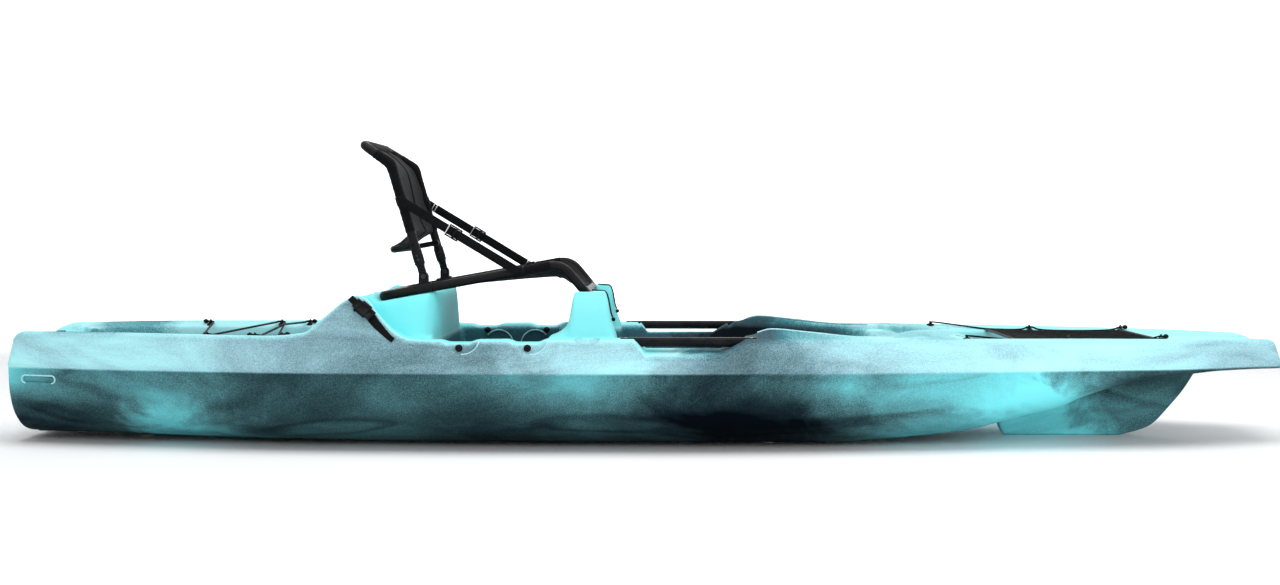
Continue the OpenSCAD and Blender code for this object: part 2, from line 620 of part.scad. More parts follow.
module bow_cord_knobs() color("black") both() end_knob(bow_eyes[1], 1, 1);

// Webbing with a buckle down the outer face of each shoulder ridge: steps from the crest, heights of the tape
shoulder_steps = [0, 15, 30, 46, 62, 85, 107];
shoulder_tape = web_w * [1.2, 1.2, 1.2, 1.2, 1.05, 0.8, 0.65];
buckle_step = 26;
web_lift = 0.7;
function side_y(x, z) =
    let (t = (z - chine_z) / (sheer_z(x) - deck_corner - chine_z))
    half_breadth(x) + (edge_y(x) - half_breadth(x)) * t;
function tape_top(x) = sheer_z(x) - deck_corner - 1;
module shoulder_strap() skin([
    for (i = [0:len(shoulder_steps) - 1])
        let (x = hump_x + shoulder_steps[i], top = tape_top(x), low = top - shoulder_tape[i])
        [for (p = [[low, 0], [low, web_t], [top, web_t], [top, 0]]) [x, side_y(x, p[0]) + web_lift + p[1], p[0]]]
]);

// Places a piece on the hull's side at the middle of the tape, its X along the tape
function tape_point(x) = let (z = tape_top(x) - 0.6 * web_w) [x, side_y(x, z), z];
module on_tape(x, lift) {
    p = tape_point(x);
    along = unit(tape_point(x + 12) - tape_point(x - 12));
    up = unit([0, side_y(x, p[2] + 5) - side_y(x, p[2] - 5), 10]);
    face = unit(cross(up, along));
    across_it = cross(face, along);
    multmatrix([for (k = [0:2]) [along[k], across_it[k], face[k], p[k]]]) translate([0, 0, lift]) children();
}
module shoulder_buckle() on_tape(hump_x + buckle_step, web_lift + web_t + 0.6) difference() {
    translate([-22, -web_w / 2 - 5, 0]) cube([44, web_w + 10, 9]);
    for (x = [-12, 4]) translate([x, -web_w / 2, -1]) cube([8, web_w, 20]);
}
module shoulder_strap_left() color("black") shoulder_strap();
module shoulder_strap_right() color("black") mirror([0, 1, 0]) shoulder_strap();
module shoulder_buckle_left() color("black") shoulder_buckle();
module shoulder_buckle_right() color("black") mirror([0, 1, 0]) shoulder_buckle();

// Hold-down cords of the seat, over the pedestals
tether_r = 2;
bead_d = 11;
tether_y = pedestal_y - pedestal_w / 2 + 24;
tether_lift = tether_r + 0.4;
tether_bend = 4 * tether_r;
tether_route = concat(
    [[foot_x + 16, pedestal_z + tether_lift]],
    [for (a = [0:30:90])
        [foot_x + 57 + tether_bend * sin(a), pedestal_z + tether_lift - tether_bend * (1 - cos(a))]],
    [[foot_x + 70, gunwale_z + 62], [foot_x + 73, gunwale_z + 42 + bead_d / 2 + slip]]
);
module seat_tether() cord([for (p = tether_route) [p[0], tether_y, p[1]]], tether_r);
module seat_tether_left() color("black") seat_tether();
module seat_tether_right() color("black") mirror([0, 1, 0]) seat_tether();
module tether_beads() color("black") both()
    translate([foot_x + 74, tether_y, gunwale_z + 42]) sphere(d = bead_d);

// Seat base: one tube bent into a loop
base_corners = [[crossbar_x, seat_rear_z], [crest_x, seat_crest_z], [foot_x, foot_z]];
base_bends = [40, 55, 38];
base_y = seat_w / 2;
module seat_base_frame() color([0.08, 0.08, 0.09]) bent_tube(
    concat(
        [for (c = base_corners) [c[0], base_y, c[1]]],
        [for (k = [2:-1:0]) [base_corners[k][0], -base_y, base_corners[k][1]]]
    ),
    concat(base_bends, [for (k = [2:-1:0]) base_bends[k]]), tube_r, closed = true
);
sling_x0 = block_x1 + 8;
sling_t = 3;
sling_w = base_y - tube_r - slip;
sling_steps = [for (k = [-5:5]) k / 5];
crest = [crest_x, seat_crest_z];
crest_run = 34;
crest_0 = crest - crest_run * unit(crest - base_corners[0]);
crest_1 = crest + crest_run * unit(base_corners[2] - crest);
function crest_curve(t) = (1 - t) * (1 - t) * crest_0 + 2 * t * (1 - t) * crest + t * t * crest_1;
sling_path = concat(
    [for (k = [0:6]) let (x = sling_x0 + k * (crest_0[0] - sling_x0) / 7) [x, base_tube_z(x)]],
    [for (t = [0, 0.25, 0.5, 0.75]) crest_curve(t)]
);
function sling_drop(i, v) = sling_sag * (1 - v * v) * sin(40 + 80 * i / (len(sling_path) - 1));
module seat_sling() color("black") difference() {
    skin([
        for (i = [0:len(sling_path) - 1])
            let (p = sling_path[i])
            concat(
                [for (v = sling_steps) [p[0], sling_w * v, p[1] - sling_drop(i, v) - sling_t / 2]],
                [for (k = [len(sling_steps) - 1:-1:0])
                    [p[0], sling_w * sling_steps[k], p[1] - sling_drop(i, sling_steps[k]) + sling_t / 2]]
            )
    ]);
    both() loop_room(strap_low, 90 + base_pitch);
}

// Backrest hinge: a clamp with two ears, a pin and a flattened tube end
pivot_lift = 34;
pivot_z = base_tube_z(seat_x) + pivot_lift;
ear_t = 4;
tongue_t = 12;
ear_r = 13;
clamp_r = tube_r + 4.5;
clamp_l = 46;
saddle_drop = tube_r - 2;
base_pitch = -atan(tube_slope);
module hinge_bracket() translate([seat_x, base_y, base_tube_z(seat_x)]) difference() {
    union() {
        rotate([0, 90 + base_pitch, 0]) cylinder(r = clamp_r, h = clamp_l, center = true);
        for (s = [-1, 1]) translate([0, s * (tongue_t / 2 + slip + ear_t / 2), 0]) {
            translate([0, 0, pivot_lift]) along_y(ear_r, ear_t);
            translate([-ear_r, -ear_t / 2, 0]) cube([2 * ear_r, ear_t, pivot_lift]);
        }
    }
    rotate([0, 90 + base_pitch, 0]) cylinder(r = tube_r + slip, h = 4 * clamp_l, center = true);
    rotate([0, base_pitch, 0]) translate([-2 * clamp_l, -clamp_l, -2 * clamp_r - saddle_drop])
        cube([4 * clamp_l, 2 * clamp_l, 2 * clamp_r]);
    translate([0, 0, pivot_lift]) along_y(pin_d / 2, 4 * tongue_t);
}
module hinge_bracket_left() color("black") hinge_bracket();
module hinge_bracket_right() color("black") mirror([0, 1, 0]) hinge_bracket();
pin_half = tongue_t / 2 + slip + ear_t;
module hinge_pins() color("silver") both() translate([seat_x, base_y, pivot_z]) {
    along_y(pin_d / 2, 2 * pin_half + 1);
    for (s = [-1, 1]) translate([0, s * (pin_half + slip + 1.5), 0]) along_y(pin_d / 2 + 2.5, 3);
}

// Backrest hoop with a headrest bend
head_lean = 56;
head_bend = 45;
back_way = [-sin(back_lean), cos(back_lean)];
head_way = [-sin(head_lean), cos(head_lean)];
pivot = [seat_x, pivot_z];
back_top = pivot + back_l * back_way;
head_top = back_top + head_l * head_way;
tongue_l = 30;
tongue_w = 2 * (sqrt(tube_r * tube_r - tongue_t * tongue_t / 4) - 0.5);
tube_foot = pivot + tongue_l * back_way;
function back_at(s) = pivot + s * back_way;
function head_at(s) = back_top + s * head_way;
function in_plane(p, y) = [p[0], y, p[1]];
module tongue() translate(in_plane(pivot, base_y)) difference() {
    across(tongue_t) {
        circle(r = ear_r - 1);
        rotate(back_lean) translate([-tongue_w / 2, 0]) square([tongue_w, tongue_l + 10]);
    }
    along_y(pin_d / 2 + pin_gap, 3 * tongue_t);
}
module back_frame() color([0.08, 0.08, 0.09]) difference() {
    union() {
        bent_tube(
            [in_plane(tube_foot, base_y), in_plane(back_top, base_y), in_plane(head_top, base_y),
                in_plane(head_top, -base_y), in_plane(back_top, -base_y), in_plane(tube_foot, -base_y)],
            [0, 70, head_bend, head_bend, 70, 0], tube_r
        );
        both() tongue();
    }
    both() translate(in_plane(back_at(lumbar_s), base_y)) along_y(lumbar_bolt_d / 2 + slip, 4 * tube_r);
}

// Lumbar bar: a smaller U-shaped tube bolted behind the uprights
lumbar_s = 88;
lumbar_d = 16;
lumbar_reach = 66;
lumbar_drop = 12;
lumbar_bolt_d = 6;
lumbar_y = base_y - tube_r - slip - lumbar_d / 2;
lumbar_eye = back_at(lumbar_s);
lumbar_back = lumbar_eye + [-lumbar_reach, -lumbar_drop];
module lumbar_bar() color([0.1, 0.1, 0.11]) difference() {
    union() {
        bent_tube(
            [in_plane(lumbar_eye, lumbar_y), in_plane(lumbar_back, lumbar_y),
                in_plane(lumbar_back, -lumbar_y), in_plane(lumbar_eye, -lumbar_y)],
            [0, 28, 28, 0], lumbar_d / 2
        );
        both() translate(in_plane(lumbar_eye, lumbar_y)) along_y(lumbar_d / 2 + 2, lumbar_d);
    }
    both() translate(in_plane(lumbar_eye, lumbar_y)) along_y(lumbar_bolt_d / 2 + slip, 3 * lumbar_d);
}
module lumbar_bolts() color("gray") both() {
    outer = base_y + tube_r;
    inner = lumbar_y - lumbar_d / 2;
    translate(in_plane(lumbar_eye, (outer + inner) / 2)) along_y(lumbar_bolt_d / 2, outer - inner + 2);
    translate(in_plane(lumbar_eye, outer + 2.5)) along_y(lumbar_bolt_d, 4);
    translate(in_plane(lumbar_eye, inner - 2.5)) along_y(lumbar_bolt_d, 4);
}

// Back panel: fabric from the lumbar bar up to the head crossbar
panel_t = 3;
panel_w = 2 * (base_y - tube_r - slip);
panel_low = lumbar_back + (lumbar_d / 2 + slip + panel_t / 2) * [-0.2, 1];
panel_line = [panel_low, back_at(132), back_at(230), back_top + [-6, -16], head_at(head_l - head_bend - 2)];
head_strip = [back_top, head_at(head_l - tube_r - 2 * slip)];
function panel_side(p, i, s) =
    let (a = p[max(i - 1, 0)], b = p[min(i + 1, len(p) - 1)], d = unit(b - a))
    p[i] + s * panel_t / 2 * [-d[1], d[0]];
function panel_outline(p) = concat(
    [for (i = [0:len(p) - 1]) panel_side(p, i, -1)],
    [for (i = [len(p) - 1:-1:0]) panel_side(p, i, 1)]
);
module back_panel() color("black") difference() {
    union() {
        across(panel_w) polygon(panel_outline(panel_line));
        across(2 * (base_y - head_bend - 2)) polygon(panel_outline(head_strip));
    }
    both() loop_room(strap_top, -back_lean);
}

// Side straps between the backrest and the base, each with a ladder buckle
loop_t = 2.5;
strap_y = base_y + tube_r + slip + loop_t + slip + web_t / 2;
strap_s = 214;
strap_top = back_at(strap_s);
strap_low_x = crest_x - 117;
strap_low = [strap_low_x, base_tube_z(strap_low_x)];
strap_len = norm(strap_low - strap_top);
strap_pitch = atan2(strap_top[1] - strap_low[1], strap_low[0] - strap_top[0]);
buckle_s = 0.44;
module loop_on(p, pitch) translate(in_plane(p, base_y)) rotate([0, pitch, 0]) difference() {
    cylinder(r = tube_r + slip + loop_t, h = web_w, center = true);
    cylinder(r = tube_r + slip, h = 2 * web_w, center = true);
}
module loop_room(p, pitch) translate(in_plane(p, base_y)) rotate([0, pitch, 0])
    cylinder(r = tube_r + loop_t + 2 * slip, h = web_w + 2 * slip, center = true);
module base_strap_loops() color("black") both() loop_on(strap_low, 90 + base_pitch);
module back_strap_loops() color("black") both() loop_on(strap_top, -back_lean);
module strap_band(grow) translate(in_plane(strap_top, strap_y)) rotate([0, strap_pitch, 0])
    translate([-grow, -web_t / 2 - grow, -web_w / 2 - grow])
        cube([strap_len + 2 * grow, web_t + 2 * grow, web_w + 2 * grow]);
module back_strap_left() color("black") strap_band(0);
module back_strap_right() color("black") mirror([0, 1, 0]) strap_band(0);
module strap_buckle() difference() {
    translate(in_plane(strap_top + buckle_s * (strap_low - strap_top), strap_y)) rotate([0, strap_pitch, 0])
        translate([-20, -5, -web_w / 2 - 5]) difference() {
            cube([40, 10, web_w + 10]);
            translate([8, -1, 5 - slip]) cube([7, 12, web_w + 2 * slip]);
            translate([25, -1, 5 - slip]) cube([7, 12, web_w + 2 * slip]);
        }
    strap_band(slip);
}
module strap_buckle_left() color("black") strap_buckle();
module strap_buckle_right() color("black") mirror([0, 1, 0]) strap_buckle();

hull_body();
skid_plate();
drain_plug();
drain_gasket();
rail_left();
rail_right();
rail_bolts();
gunwale_bolts();
gunwale_nuts();
stern_pad_eyes();
stern_bungee();
bungee_knobs();
bow_pad_eyes();
bow_cord_anchors();
bow_mesh_cover();
bow_mesh_cord();
bow_cord_knobs();
shoulder_strap_left();
shoulder_strap_right();
shoulder_buckle_left();
shoulder_buckle_right();
seat_tether_left();
seat_tether_right();
tether_beads();
seat_base_frame();
seat_sling();
hinge_bracket_left();
hinge_bracket_right();
hinge_pins();
base_strap_loops();
back_frame();
back_panel();
lumbar_bar();
lumbar_bolts();
back_strap_loops();
back_strap_left();
back_strap_right();
strap_buckle_left();
strap_buckle_right();
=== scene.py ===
from math import acos, atan2, cos, pi, radians, sin

import bmesh
import bpy
import numpy as np
from mathutils import Matrix, Vector


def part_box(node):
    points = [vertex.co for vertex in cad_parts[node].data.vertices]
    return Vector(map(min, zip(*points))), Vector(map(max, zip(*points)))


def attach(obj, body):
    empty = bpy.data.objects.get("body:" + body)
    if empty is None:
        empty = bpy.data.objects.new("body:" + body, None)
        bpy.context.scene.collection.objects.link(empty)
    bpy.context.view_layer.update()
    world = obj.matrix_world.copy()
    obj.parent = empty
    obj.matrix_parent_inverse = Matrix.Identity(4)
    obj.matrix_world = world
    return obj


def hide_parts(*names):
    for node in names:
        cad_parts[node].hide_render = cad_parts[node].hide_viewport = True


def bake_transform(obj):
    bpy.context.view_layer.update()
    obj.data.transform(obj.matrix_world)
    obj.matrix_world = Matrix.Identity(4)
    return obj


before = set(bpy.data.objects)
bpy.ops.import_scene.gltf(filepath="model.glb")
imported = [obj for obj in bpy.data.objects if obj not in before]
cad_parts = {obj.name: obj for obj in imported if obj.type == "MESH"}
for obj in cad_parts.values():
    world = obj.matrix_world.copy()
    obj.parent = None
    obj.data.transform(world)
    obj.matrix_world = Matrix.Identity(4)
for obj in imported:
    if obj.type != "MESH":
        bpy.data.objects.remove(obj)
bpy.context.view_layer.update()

# Camera. The boat was photographed side on from 4.7 m, from a little above the deck,
# with the lens turned slightly down and towards the stern.
PHOTO_W, FOCAL_PX, SENSOR = 1280, 1647, 36
LOOK_DOWN, LOOK_AFT = 2.52, 0.77


def put(name, data):
    made = bpy.data.objects.new(name, data)
    bpy.context.scene.collection.objects.link(made)
    return made


camera = put("camera", bpy.data.cameras.new("camera"))
camera.data.sensor_width, camera.data.lens = SENSOR, SENSOR * FOCAL_PX / PHOTO_W
camera.location = (0.038, -4.700, 0.611)
camera.rotation_euler = (radians(90 - LOOK_DOWN), 0, radians(LOOK_AFT))
bpy.context.scene.camera = camera


# Floor and light. A pale studio floor that turns up into its own backdrop far behind,
# lit by wide soft lamps, mostly from above.
def add_mesh(name, verts, faces, edges=(), smooth=True):
    mesh = bpy.data.meshes.new(name)
    mesh.from_pydata([tuple(v) for v in verts], edges, [tuple(f) for f in faces])
    mesh.update()
    if smooth:
        mesh.shade_smooth()
    return put(name, mesh)


def new_material(name, color, roughness, metallic=0.0, specular=0.5, sheen=0.0, coords="Object"):
    """A material, its shader and the coordinates that its pattern is laid on."""
    made = bpy.data.materials.new(name)
    made.use_nodes = True
    shader = made.node_tree.nodes["Principled BSDF"]
    for label, value in (
        ("Base Color", (*color, 1)), ("Roughness", roughness), ("Metallic", metallic),
        ("Specular IOR Level", specular), ("Sheen Weight", sheen),
    ):
        shader.inputs[label].default_value = value
    return made, shader, made.node_tree.nodes.new("ShaderNodeTexCoord").outputs[coords]


FLOOR_HALF, FLOOR_DROP, BACKDROP_Y, BACKDROP_TOP, BACKDROP_R = 14.0, 0.0005, 9.0, 9.0, 4.0
BEND_Y = BACKDROP_Y - BACKDROP_R
bend = [(BEND_Y + BACKDROP_R * sin(t), BACKDROP_R - BACKDROP_R * cos(t)) for t in np.linspace(0, pi / 2, 24)]
sweep = [(-FLOOR_HALF, 0.0), (BEND_Y, 0.0), *bend, (BACKDROP_Y, BACKDROP_TOP)]
floor = add_mesh(
    "floor",
    [(x, y, z - FLOOR_DROP) for y, z in sweep for x in (-FLOOR_HALF, FLOOR_HALF)],
    [(2 * i, 2 * i + 1, 2 * i + 3, 2 * i + 2) for i in range(len(sweep) - 1)],
)
floor.data.materials.append(new_material("floor_paper", (0.90, 0.91, 0.92), 0.9, specular=0.1)[0])
for name, place, target, size, power in (
    ("lamp_top", (0.0, -0.6, 3.6), (0, 0, 0.2), (5.5, 2.6), 120),
    ("lamp_front", (-1.5, -5.0, 2.2), (0, 0, 0.2), (4.0, 2.0), 48),
    ("lamp_side", (3.4, -2.6, 1.8), (-0.4, 0, 0.3), (2.0, 2.0), 34),
    ("lamp_back", (0.5, 4.5, 3.0), (0, 0, 0.3), (5.0, 2.0), 40),
    ("lamp_bow", (1.4, -1.8, 0.05), (1.15, 0, 0.12), (1.2, 0.2), 9),
    ("lamp_backdrop", (0.0, 4.2, 4.0), (0, 9, 2.0), (12.0, 2.5), 700),
):
    lamp = put(name, bpy.data.lights.new(name, "AREA"))
    lamp.data.shape, lamp.data.energy = "RECTANGLE", power
    lamp.data.size, lamp.data.size_y = size
    lamp.location = place
    lamp.rotation_euler = (Vector(target) - Vector(place)).to_track_quat("-Z", "Y").to_euler()
bpy.data.objects["lamp_bow"].visible_camera = False
world = bpy.data.worlds.new("studio")
world.use_nodes = True
sky = world.node_tree.nodes["Background"].inputs
sky["Color"].default_value, sky["Strength"].default_value = (1, 1, 1, 1), 0.45
bpy.context.scene.world = world
bpy.context.scene.view_settings.view_transform = "Standard"

# Hull. One hollow moulding in polyethylene: bottom, chine, sides, side decks, wells, seat
# block and pedestals in a single skin. Sections in millimetres, as in the part's drawing,
# are lofted along the boat, and the moulded forms are raised from the deck as soft steps.
MM = 0.001
STERN, BOW = -1750.0, 1750.0
HALF_BEAM, CHINE_Z, GUNWALE_Z = 445.0, 212.0, 298.0
TUMBLEHOME, SIDE_DECK_W, FLAT_HALF, FIN_HALF = 40.0, 85.0, 130.0, 17.0
PLATFORM_Z, STERN_RISE, HUMP_RISE, COAMING_RISE = 200.0, 20.0, 114.0, 22.0
TANK_FLOOR, COCKPIT_FLOOR, BOW_WELL_DEPTH, DECK_Z = 150.0, 110.0, 140.0, 284.0
SEAT_X, HUMP_X, RAIL_X, COAMING_X = -612.0, -775.0, 108.0, 329.0
TANK_X0, TANK_X1, COCKPIT_X0, COCKPIT_X1 = -1610.0, -960.0, -552.0, 560.0
BOW_WELL_X0, BOW_WELL_X1, WELL_RUN, TANK_END_RUN = 750.0, 1390.0, 30.0, 7.0
FIN_X0, FIN_X2, FIN_X3 = 990.0, 1330.0, 1566.0


def fair(points, x):
    """Monotone curve through (x, value) points."""
    xs, vs = np.array(points, float).T
    gaps = np.diff(xs)
    rates = np.diff(vs) / gaps
    inner = [0 if a * b <= 0 else 2 * a * b / (a + b) for a, b in zip(rates, rates[1:])]
    slopes = np.array([rates[0], *inner, rates[-1]])
    x = np.asarray(x, float)
    i = np.clip(np.searchsorted(xs, x, side="right") - 1, 0, len(xs) - 2)
    t = np.clip((x - xs[i]) / gaps[i], 0, 1)
    lean = (1 - t) * slopes[i] - t * slopes[i + 1]
    return vs[i] + (vs[i + 1] - vs[i]) * t * t * (3 - 2 * t) + gaps[i] * t * (1 - t) * lean


def soft_step(t):
    t = np.clip(t, 0, 1)
    return t * t * (3 - 2 * t)


def half_breadth(x):
    aft = ((-1330, 0.79), (-840, 0.955), (-350, 0.995), (0, 1))
    fore = ((350, 0.97), (735, 0.885), (1155, 0.745), (BOW - 315, 0.64))
    points = [(STERN, 236), (STERN + 14, 247), (STERN + 60, 262)]
    points += [(place, share * HALF_BEAM) for place, share in aft + fore]
    return fair(points + [(BOW - 80, 196), (BOW - 25, 182), (BOW, 152)], x)


def bottom_z(x):
    aft = ((0, 14), (8, 4), (24, 0), (200, -3), (850, -15), (1500, -20))
    fore = (
        (1230, 0), (1105, 0.04), (882, 0.15), (798, 0.25), (637, 0.45), (558, 0.625), (461, 0.78), (319, 0.91),
        (190, 0.99), (0, 1.01),
    )
    points = [(STERN + d, STERN_RISE + z) for d, z in aft] + [(BOW - d, share * PLATFORM_Z) for d, share in fore]
    return fair(points, x)


def keel_z(x):
    cutwater = ((0, 0), (45, 0.04), (95, 0.13), (152, 0.415), (190, 0.65), (218, 0.87), (FIN_X3 - FIN_X2, 1))
    points = [(FIN_X0, 0.3 * PLATFORM_Z), (FIN_X0 + 10, 0.1 * PLATFORM_Z), (FIN_X0 + 28, 0)]
    edge = fair(points + [(FIN_X2 + d, share * PLATFORM_Z) for d, share in cutwater], x)
    inside = (x >= FIN_X0) & (x <= FIN_X3)
    return np.where(inside, np.minimum(bottom_z(x), edge), bottom_z(x))


def sheer_z(x):
    hump = ((-138, 0.13), (-86, 0.47), (-25, 0.9), (0, 1), (30, 0.92), (62, 0.58), (107, 0.18))
    points = [(STERN, -10), (STERN + 12, 1), (STERN + 36, 8), (STERN + 300, 9), (HUMP_X - 235, 6)]
    points += [(HUMP_X + d, share * HUMP_RISE) for d, share in hump]
    points += [(HUMP_X + 146, 1), (HUMP_X + 227, -4), (RAIL_X - 260, 0), (RAIL_X + 300, 0)]
    points += [(BOW - d, z) for d, z in ((612, -5), (330, -9), (45, -15), (24, -21), (10, -44), (0, -74))]
    return GUNWALE_Z + fair(points, x)


def inner_z(x):
    return sheer_z(x) + fair(
        [
            (STERN, -4), (STERN + 150, -12), (HUMP_X - 300, -14), (HUMP_X - 180, -12), (HUMP_X, -24),
            (HUMP_X + 150, 0), (RAIL_X + 90, 0), (RAIL_X + 160, 6), (COAMING_X, COAMING_RISE),
            (COAMING_X + 100, 0.6 * COAMING_RISE), (COAMING_X + 244, 0), (BOW_WELL_X0, -2),
            (BOW_WELL_X0 + 150, -14), (BOW - 200, -13), (BOW, 0),
        ],
        x,
    )


def floor_z(x):
    points = [(STERN, DECK_Z - 4), (TANK_X0 - TANK_END_RUN, DECK_Z), (TANK_X0, TANK_FLOOR), (TANK_X1, TANK_FLOOR)]
    points += [(TANK_X1 + WELL_RUN, GUNWALE_Z), (COCKPIT_X0 - WELL_RUN, GUNWALE_Z), (COCKPIT_X0, COCKPIT_FLOOR)]
    points += [(COCKPIT_X1, COCKPIT_FLOOR), (COCKPIT_X1 + 3 * WELL_RUN, DECK_Z), (BOW_WELL_X0 - WELL_RUN, DECK_Z)]
    bow_well = ((BOW_WELL_X0, 1), (BOW - 650, 0.86), (BOW - 450, 0.42), (BOW_WELL_X1, 0.4))
    points += [(d, DECK_Z - share * BOW_WELL_DEPTH) for d, share in bow_well]
    points += [(BOW_WELL_X1 + WELL_RUN, DECK_Z - 8), (BOW - 45, DECK_Z - 9), (BOW - 24, GUNWALE_Z - 30)]
    return fair(points + [(BOW - 10, CHINE_Z + 34), (BOW, CHINE_Z + 6)], x)


def floor_crown(x):
    return fair([(COCKPIT_X0, 0), (COCKPIT_X0 + 80, 22), (COCKPIT_X1 - 80, 22), (COCKPIT_X1, 0)], x)


def edge_y(x):
    rise = (sheer_z(x) - CHINE_Z) / (GUNWALE_Z - CHINE_Z)
    return half_breadth(x) - TUMBLEHOME * (0.5 + 0.5 * rise)


def wall_y(x):
    return np.maximum(48, edge_y(x) - SIDE_DECK_W)


END_FADE = 60.0


def inner_y(x):
    """Inner edge of the side deck, drawn in round the rounded ends of the wells."""
    drawn_in = np.zeros_like(np.asarray(x, float))
    for place, way, r in ((TANK_X0, 1, 110.0), (BOW_WELL_X0, 1, 90.0), (BOW_WELL_X1, -1, 80.0)):
        d = (x - place) * way
        arc = r - np.sqrt(np.maximum(0, r * r - np.clip(r - d, 0, r) ** 2))
        before = r * np.clip(1 + d / END_FADE, 0, 1)
        drawn_in = np.maximum(drawn_in, np.where(d >= r, 0, np.where(d >= 0, arc, before)))
    return np.maximum(30, wall_y(x) - drawn_in)


# Cut-outs of the gunwale: a long one under each rail and a shallow dip at each through bolt.
RAIL_ARCH, NOTCH_Z, SILL_SLOPE, UNCUT = 258.0, GUNWALE_Z - 10, 13.0, 1000.0
BOLT_X = (SEAT_X + 117, SEAT_X + 297)


def gunwale_cut(x):
    cuts = [(RAIL_X, (-153, -144, -114, 86, 150, 160), GUNWALE_Z, RAIL_ARCH)]
    cuts += [(b, (-70, -50, -34, 28, 44, 64), GUNWALE_Z - 2, NOTCH_Z) for b in BOLT_X]
    lines = []
    for place, steps, rim, low in cuts:
        lines.append(np.interp(x, [place + d for d in steps], [UNCUT, rim, low, low, rim, UNCUT]))
    return np.minimum.reduce(lines)


def soft_min(a, b, k):
    """The lesser of a and b, blended where they are within k."""
    h = np.clip(0.5 + 0.5 * (b - a) / k, 0, 1)
    return b + (a - b) * h - k * h * (1 - h)


# Stations of the loft, close together where the moulding turns.
STATION_STEP, LEAST_STEP = 20, 2.9
stations = list(np.arange(STERN, BOW, STATION_STEP))
for lo, hi, step in (
    (STERN, STERN + 50, 5), (TANK_X0 - 35, TANK_X0 + 20, 5), (TANK_X0 + 20, TANK_X0 + 115, 9),
    (TANK_X1 - 5, TANK_X1 + 36, 5), (HUMP_X - 220, HUMP_X + 160, 10), (-812, -776, 5),
    (-600, -544, 3.5), (BOLT_X[0] - 60, BOLT_X[0] + 60, 5), (BOLT_X[1] - 60, BOLT_X[1] + 60, 5),
    (-290, -70, 4.5), (RAIL_X - 155, RAIL_X - 108, 5), (RAIL_X + 80, RAIL_X + 156, 6),
    (COAMING_X - 60, COAMING_X + 60, 8), (COCKPIT_X1 - 5, COCKPIT_X1 + 95, 7),
    (BOW_WELL_X0 - 40, BOW_WELL_X0 + 95, 6), (FIN_X0 - 10, FIN_X0 + 40, 4),
    (BOW_WELL_X1 - 85, BOW_WELL_X1 + 36, 7), (FIN_X2 + 60, FIN_X3 + 4, 9), (BOW - 85, BOW - 45, 6),
    (BOW - 45, BOW, 3),
):
    stations += list(np.arange(lo, hi, step))
kept = [STERN]
for x in sorted(stations)[1:] + [BOW]:
    if x - kept[-1] >= LEAST_STEP or x == BOW:
        kept.append(x)
if kept[-1] - kept[-2] < 2:
    del kept[-2]
stations = np.array(kept)


def bezier(a, b, c, n):
    """Rounded corner from a to c with its corner at b, as n points."""
    return [
        tuple((1 - t) ** 2 * p + 2 * t * (1 - t) * q + t * t * r for p, q, r in zip(a, b, c))
        for t in np.linspace(0, 1, n)
    ]


def straight(a, b, n):
    """n points from a towards b, without b."""
    return [tuple(p + (q - p) * t for p, q in zip(a, b)) for t in np.arange(n) / n]


# Half of the section at every station, from the keel round to the middle of the floor. hw is the half
# breadth, and zk, zb, zc, zg, zi, ze and zf the heights of keel, bottom, chine, gunwale, deck's inner
# edge, well's rim and floor; yf, yo, gi and wb are the half breadths of flat, gunwale, inner edge and floor.
BILGE_STEPS, SIDE_STEPS, DECK_STEPS, WALL_STEPS, FLOOR_STEPS = 14, 11, 10, 11, 30
CUT_BLEND, BILGE_POWER = 5, 0.85
hw, zb, zk = half_breadth(stations), bottom_z(stations), keel_z(stations)
cut_z = gunwale_cut(stations)
zg = soft_min(sheer_z(stations), cut_z, CUT_BLEND)
zi = soft_min(inner_z(stations), cut_z + SILL_SLOPE * (cut_z < NOTCH_Z), CUT_BLEND)
zf, crown = floor_z(stations), floor_crown(stations)
yo, gi = edge_y(stations), inner_y(stations)
zc = np.minimum(CHINE_Z, sheer_z(stations) - 18)
ze = np.maximum(zi - 8, np.minimum(zf, zi - 0.5))
wb = gi - 22
yf = np.maximum(FIN_HALF + 40, np.minimum(FLAT_HALF, 0.3 * hw))
fin, keel = zb - zk, 0 * hw + FIN_HALF
foot = np.minimum(6, fin / 3)
wall_foot = (wb + 8, np.minimum(zf + 26, ze - 8))

half = [(0 * hw, zk), (keel - 7, zk), (keel - 2, zk + 0.3 * foot), (keel, zk + foot)]
fin_root = ((2, 0.7), (4, 0.4), (7, 0.2), (12, 0.08), (20, 0.02))
half += [(keel + dy, zb - share * fin) for dy, share in fin_root] + straight((keel + 32, zb), (yf, zb), 4)
bilge_y, bilge_z = hw - 4, zc - 5
for t in np.linspace(0, pi / 2, BILGE_STEPS, endpoint=False):
    half.append((yf + (bilge_y - yf) * sin(t) ** BILGE_POWER, bilge_z - (bilge_z - zb) * cos(t) ** BILGE_POWER))
half += [(bilge_y, bilge_z), (hw - 2, zc - 1)]
chine_row = len(half)
half += [(hw, zc), (hw - 0.2, zc + 4)] + straight((hw - 1, zc + 9), (yo, zg - 16), SIDE_STEPS)
half += bezier((yo, zg - 16), (yo - 1, zg), (yo - 17, zg), 7)
deck_row = len(half)
half += straight((yo - 20, zg), (gi + 12, zi), DECK_STEPS) + bezier((gi + 12, zi), (gi + 1, zi), (gi, ze - 4), 6)
half += straight((gi - 1, ze - 7), wall_foot, WALL_STEPS) + bezier(wall_foot, (wb + 4, zf), (wb - 18, zf), 6)
floor_row = len(half)
half += [((wb - 18) * (1 - t), zf + crown * t) for t in np.arange(1, FLOOR_STEPS + 1) / FLOOR_STEPS]
half_y, half_z = (np.array(rows).T for rows in zip(*half))
station_x = np.repeat(stations[:, None], len(half), axis=1)
rows = np.arange(len(half))


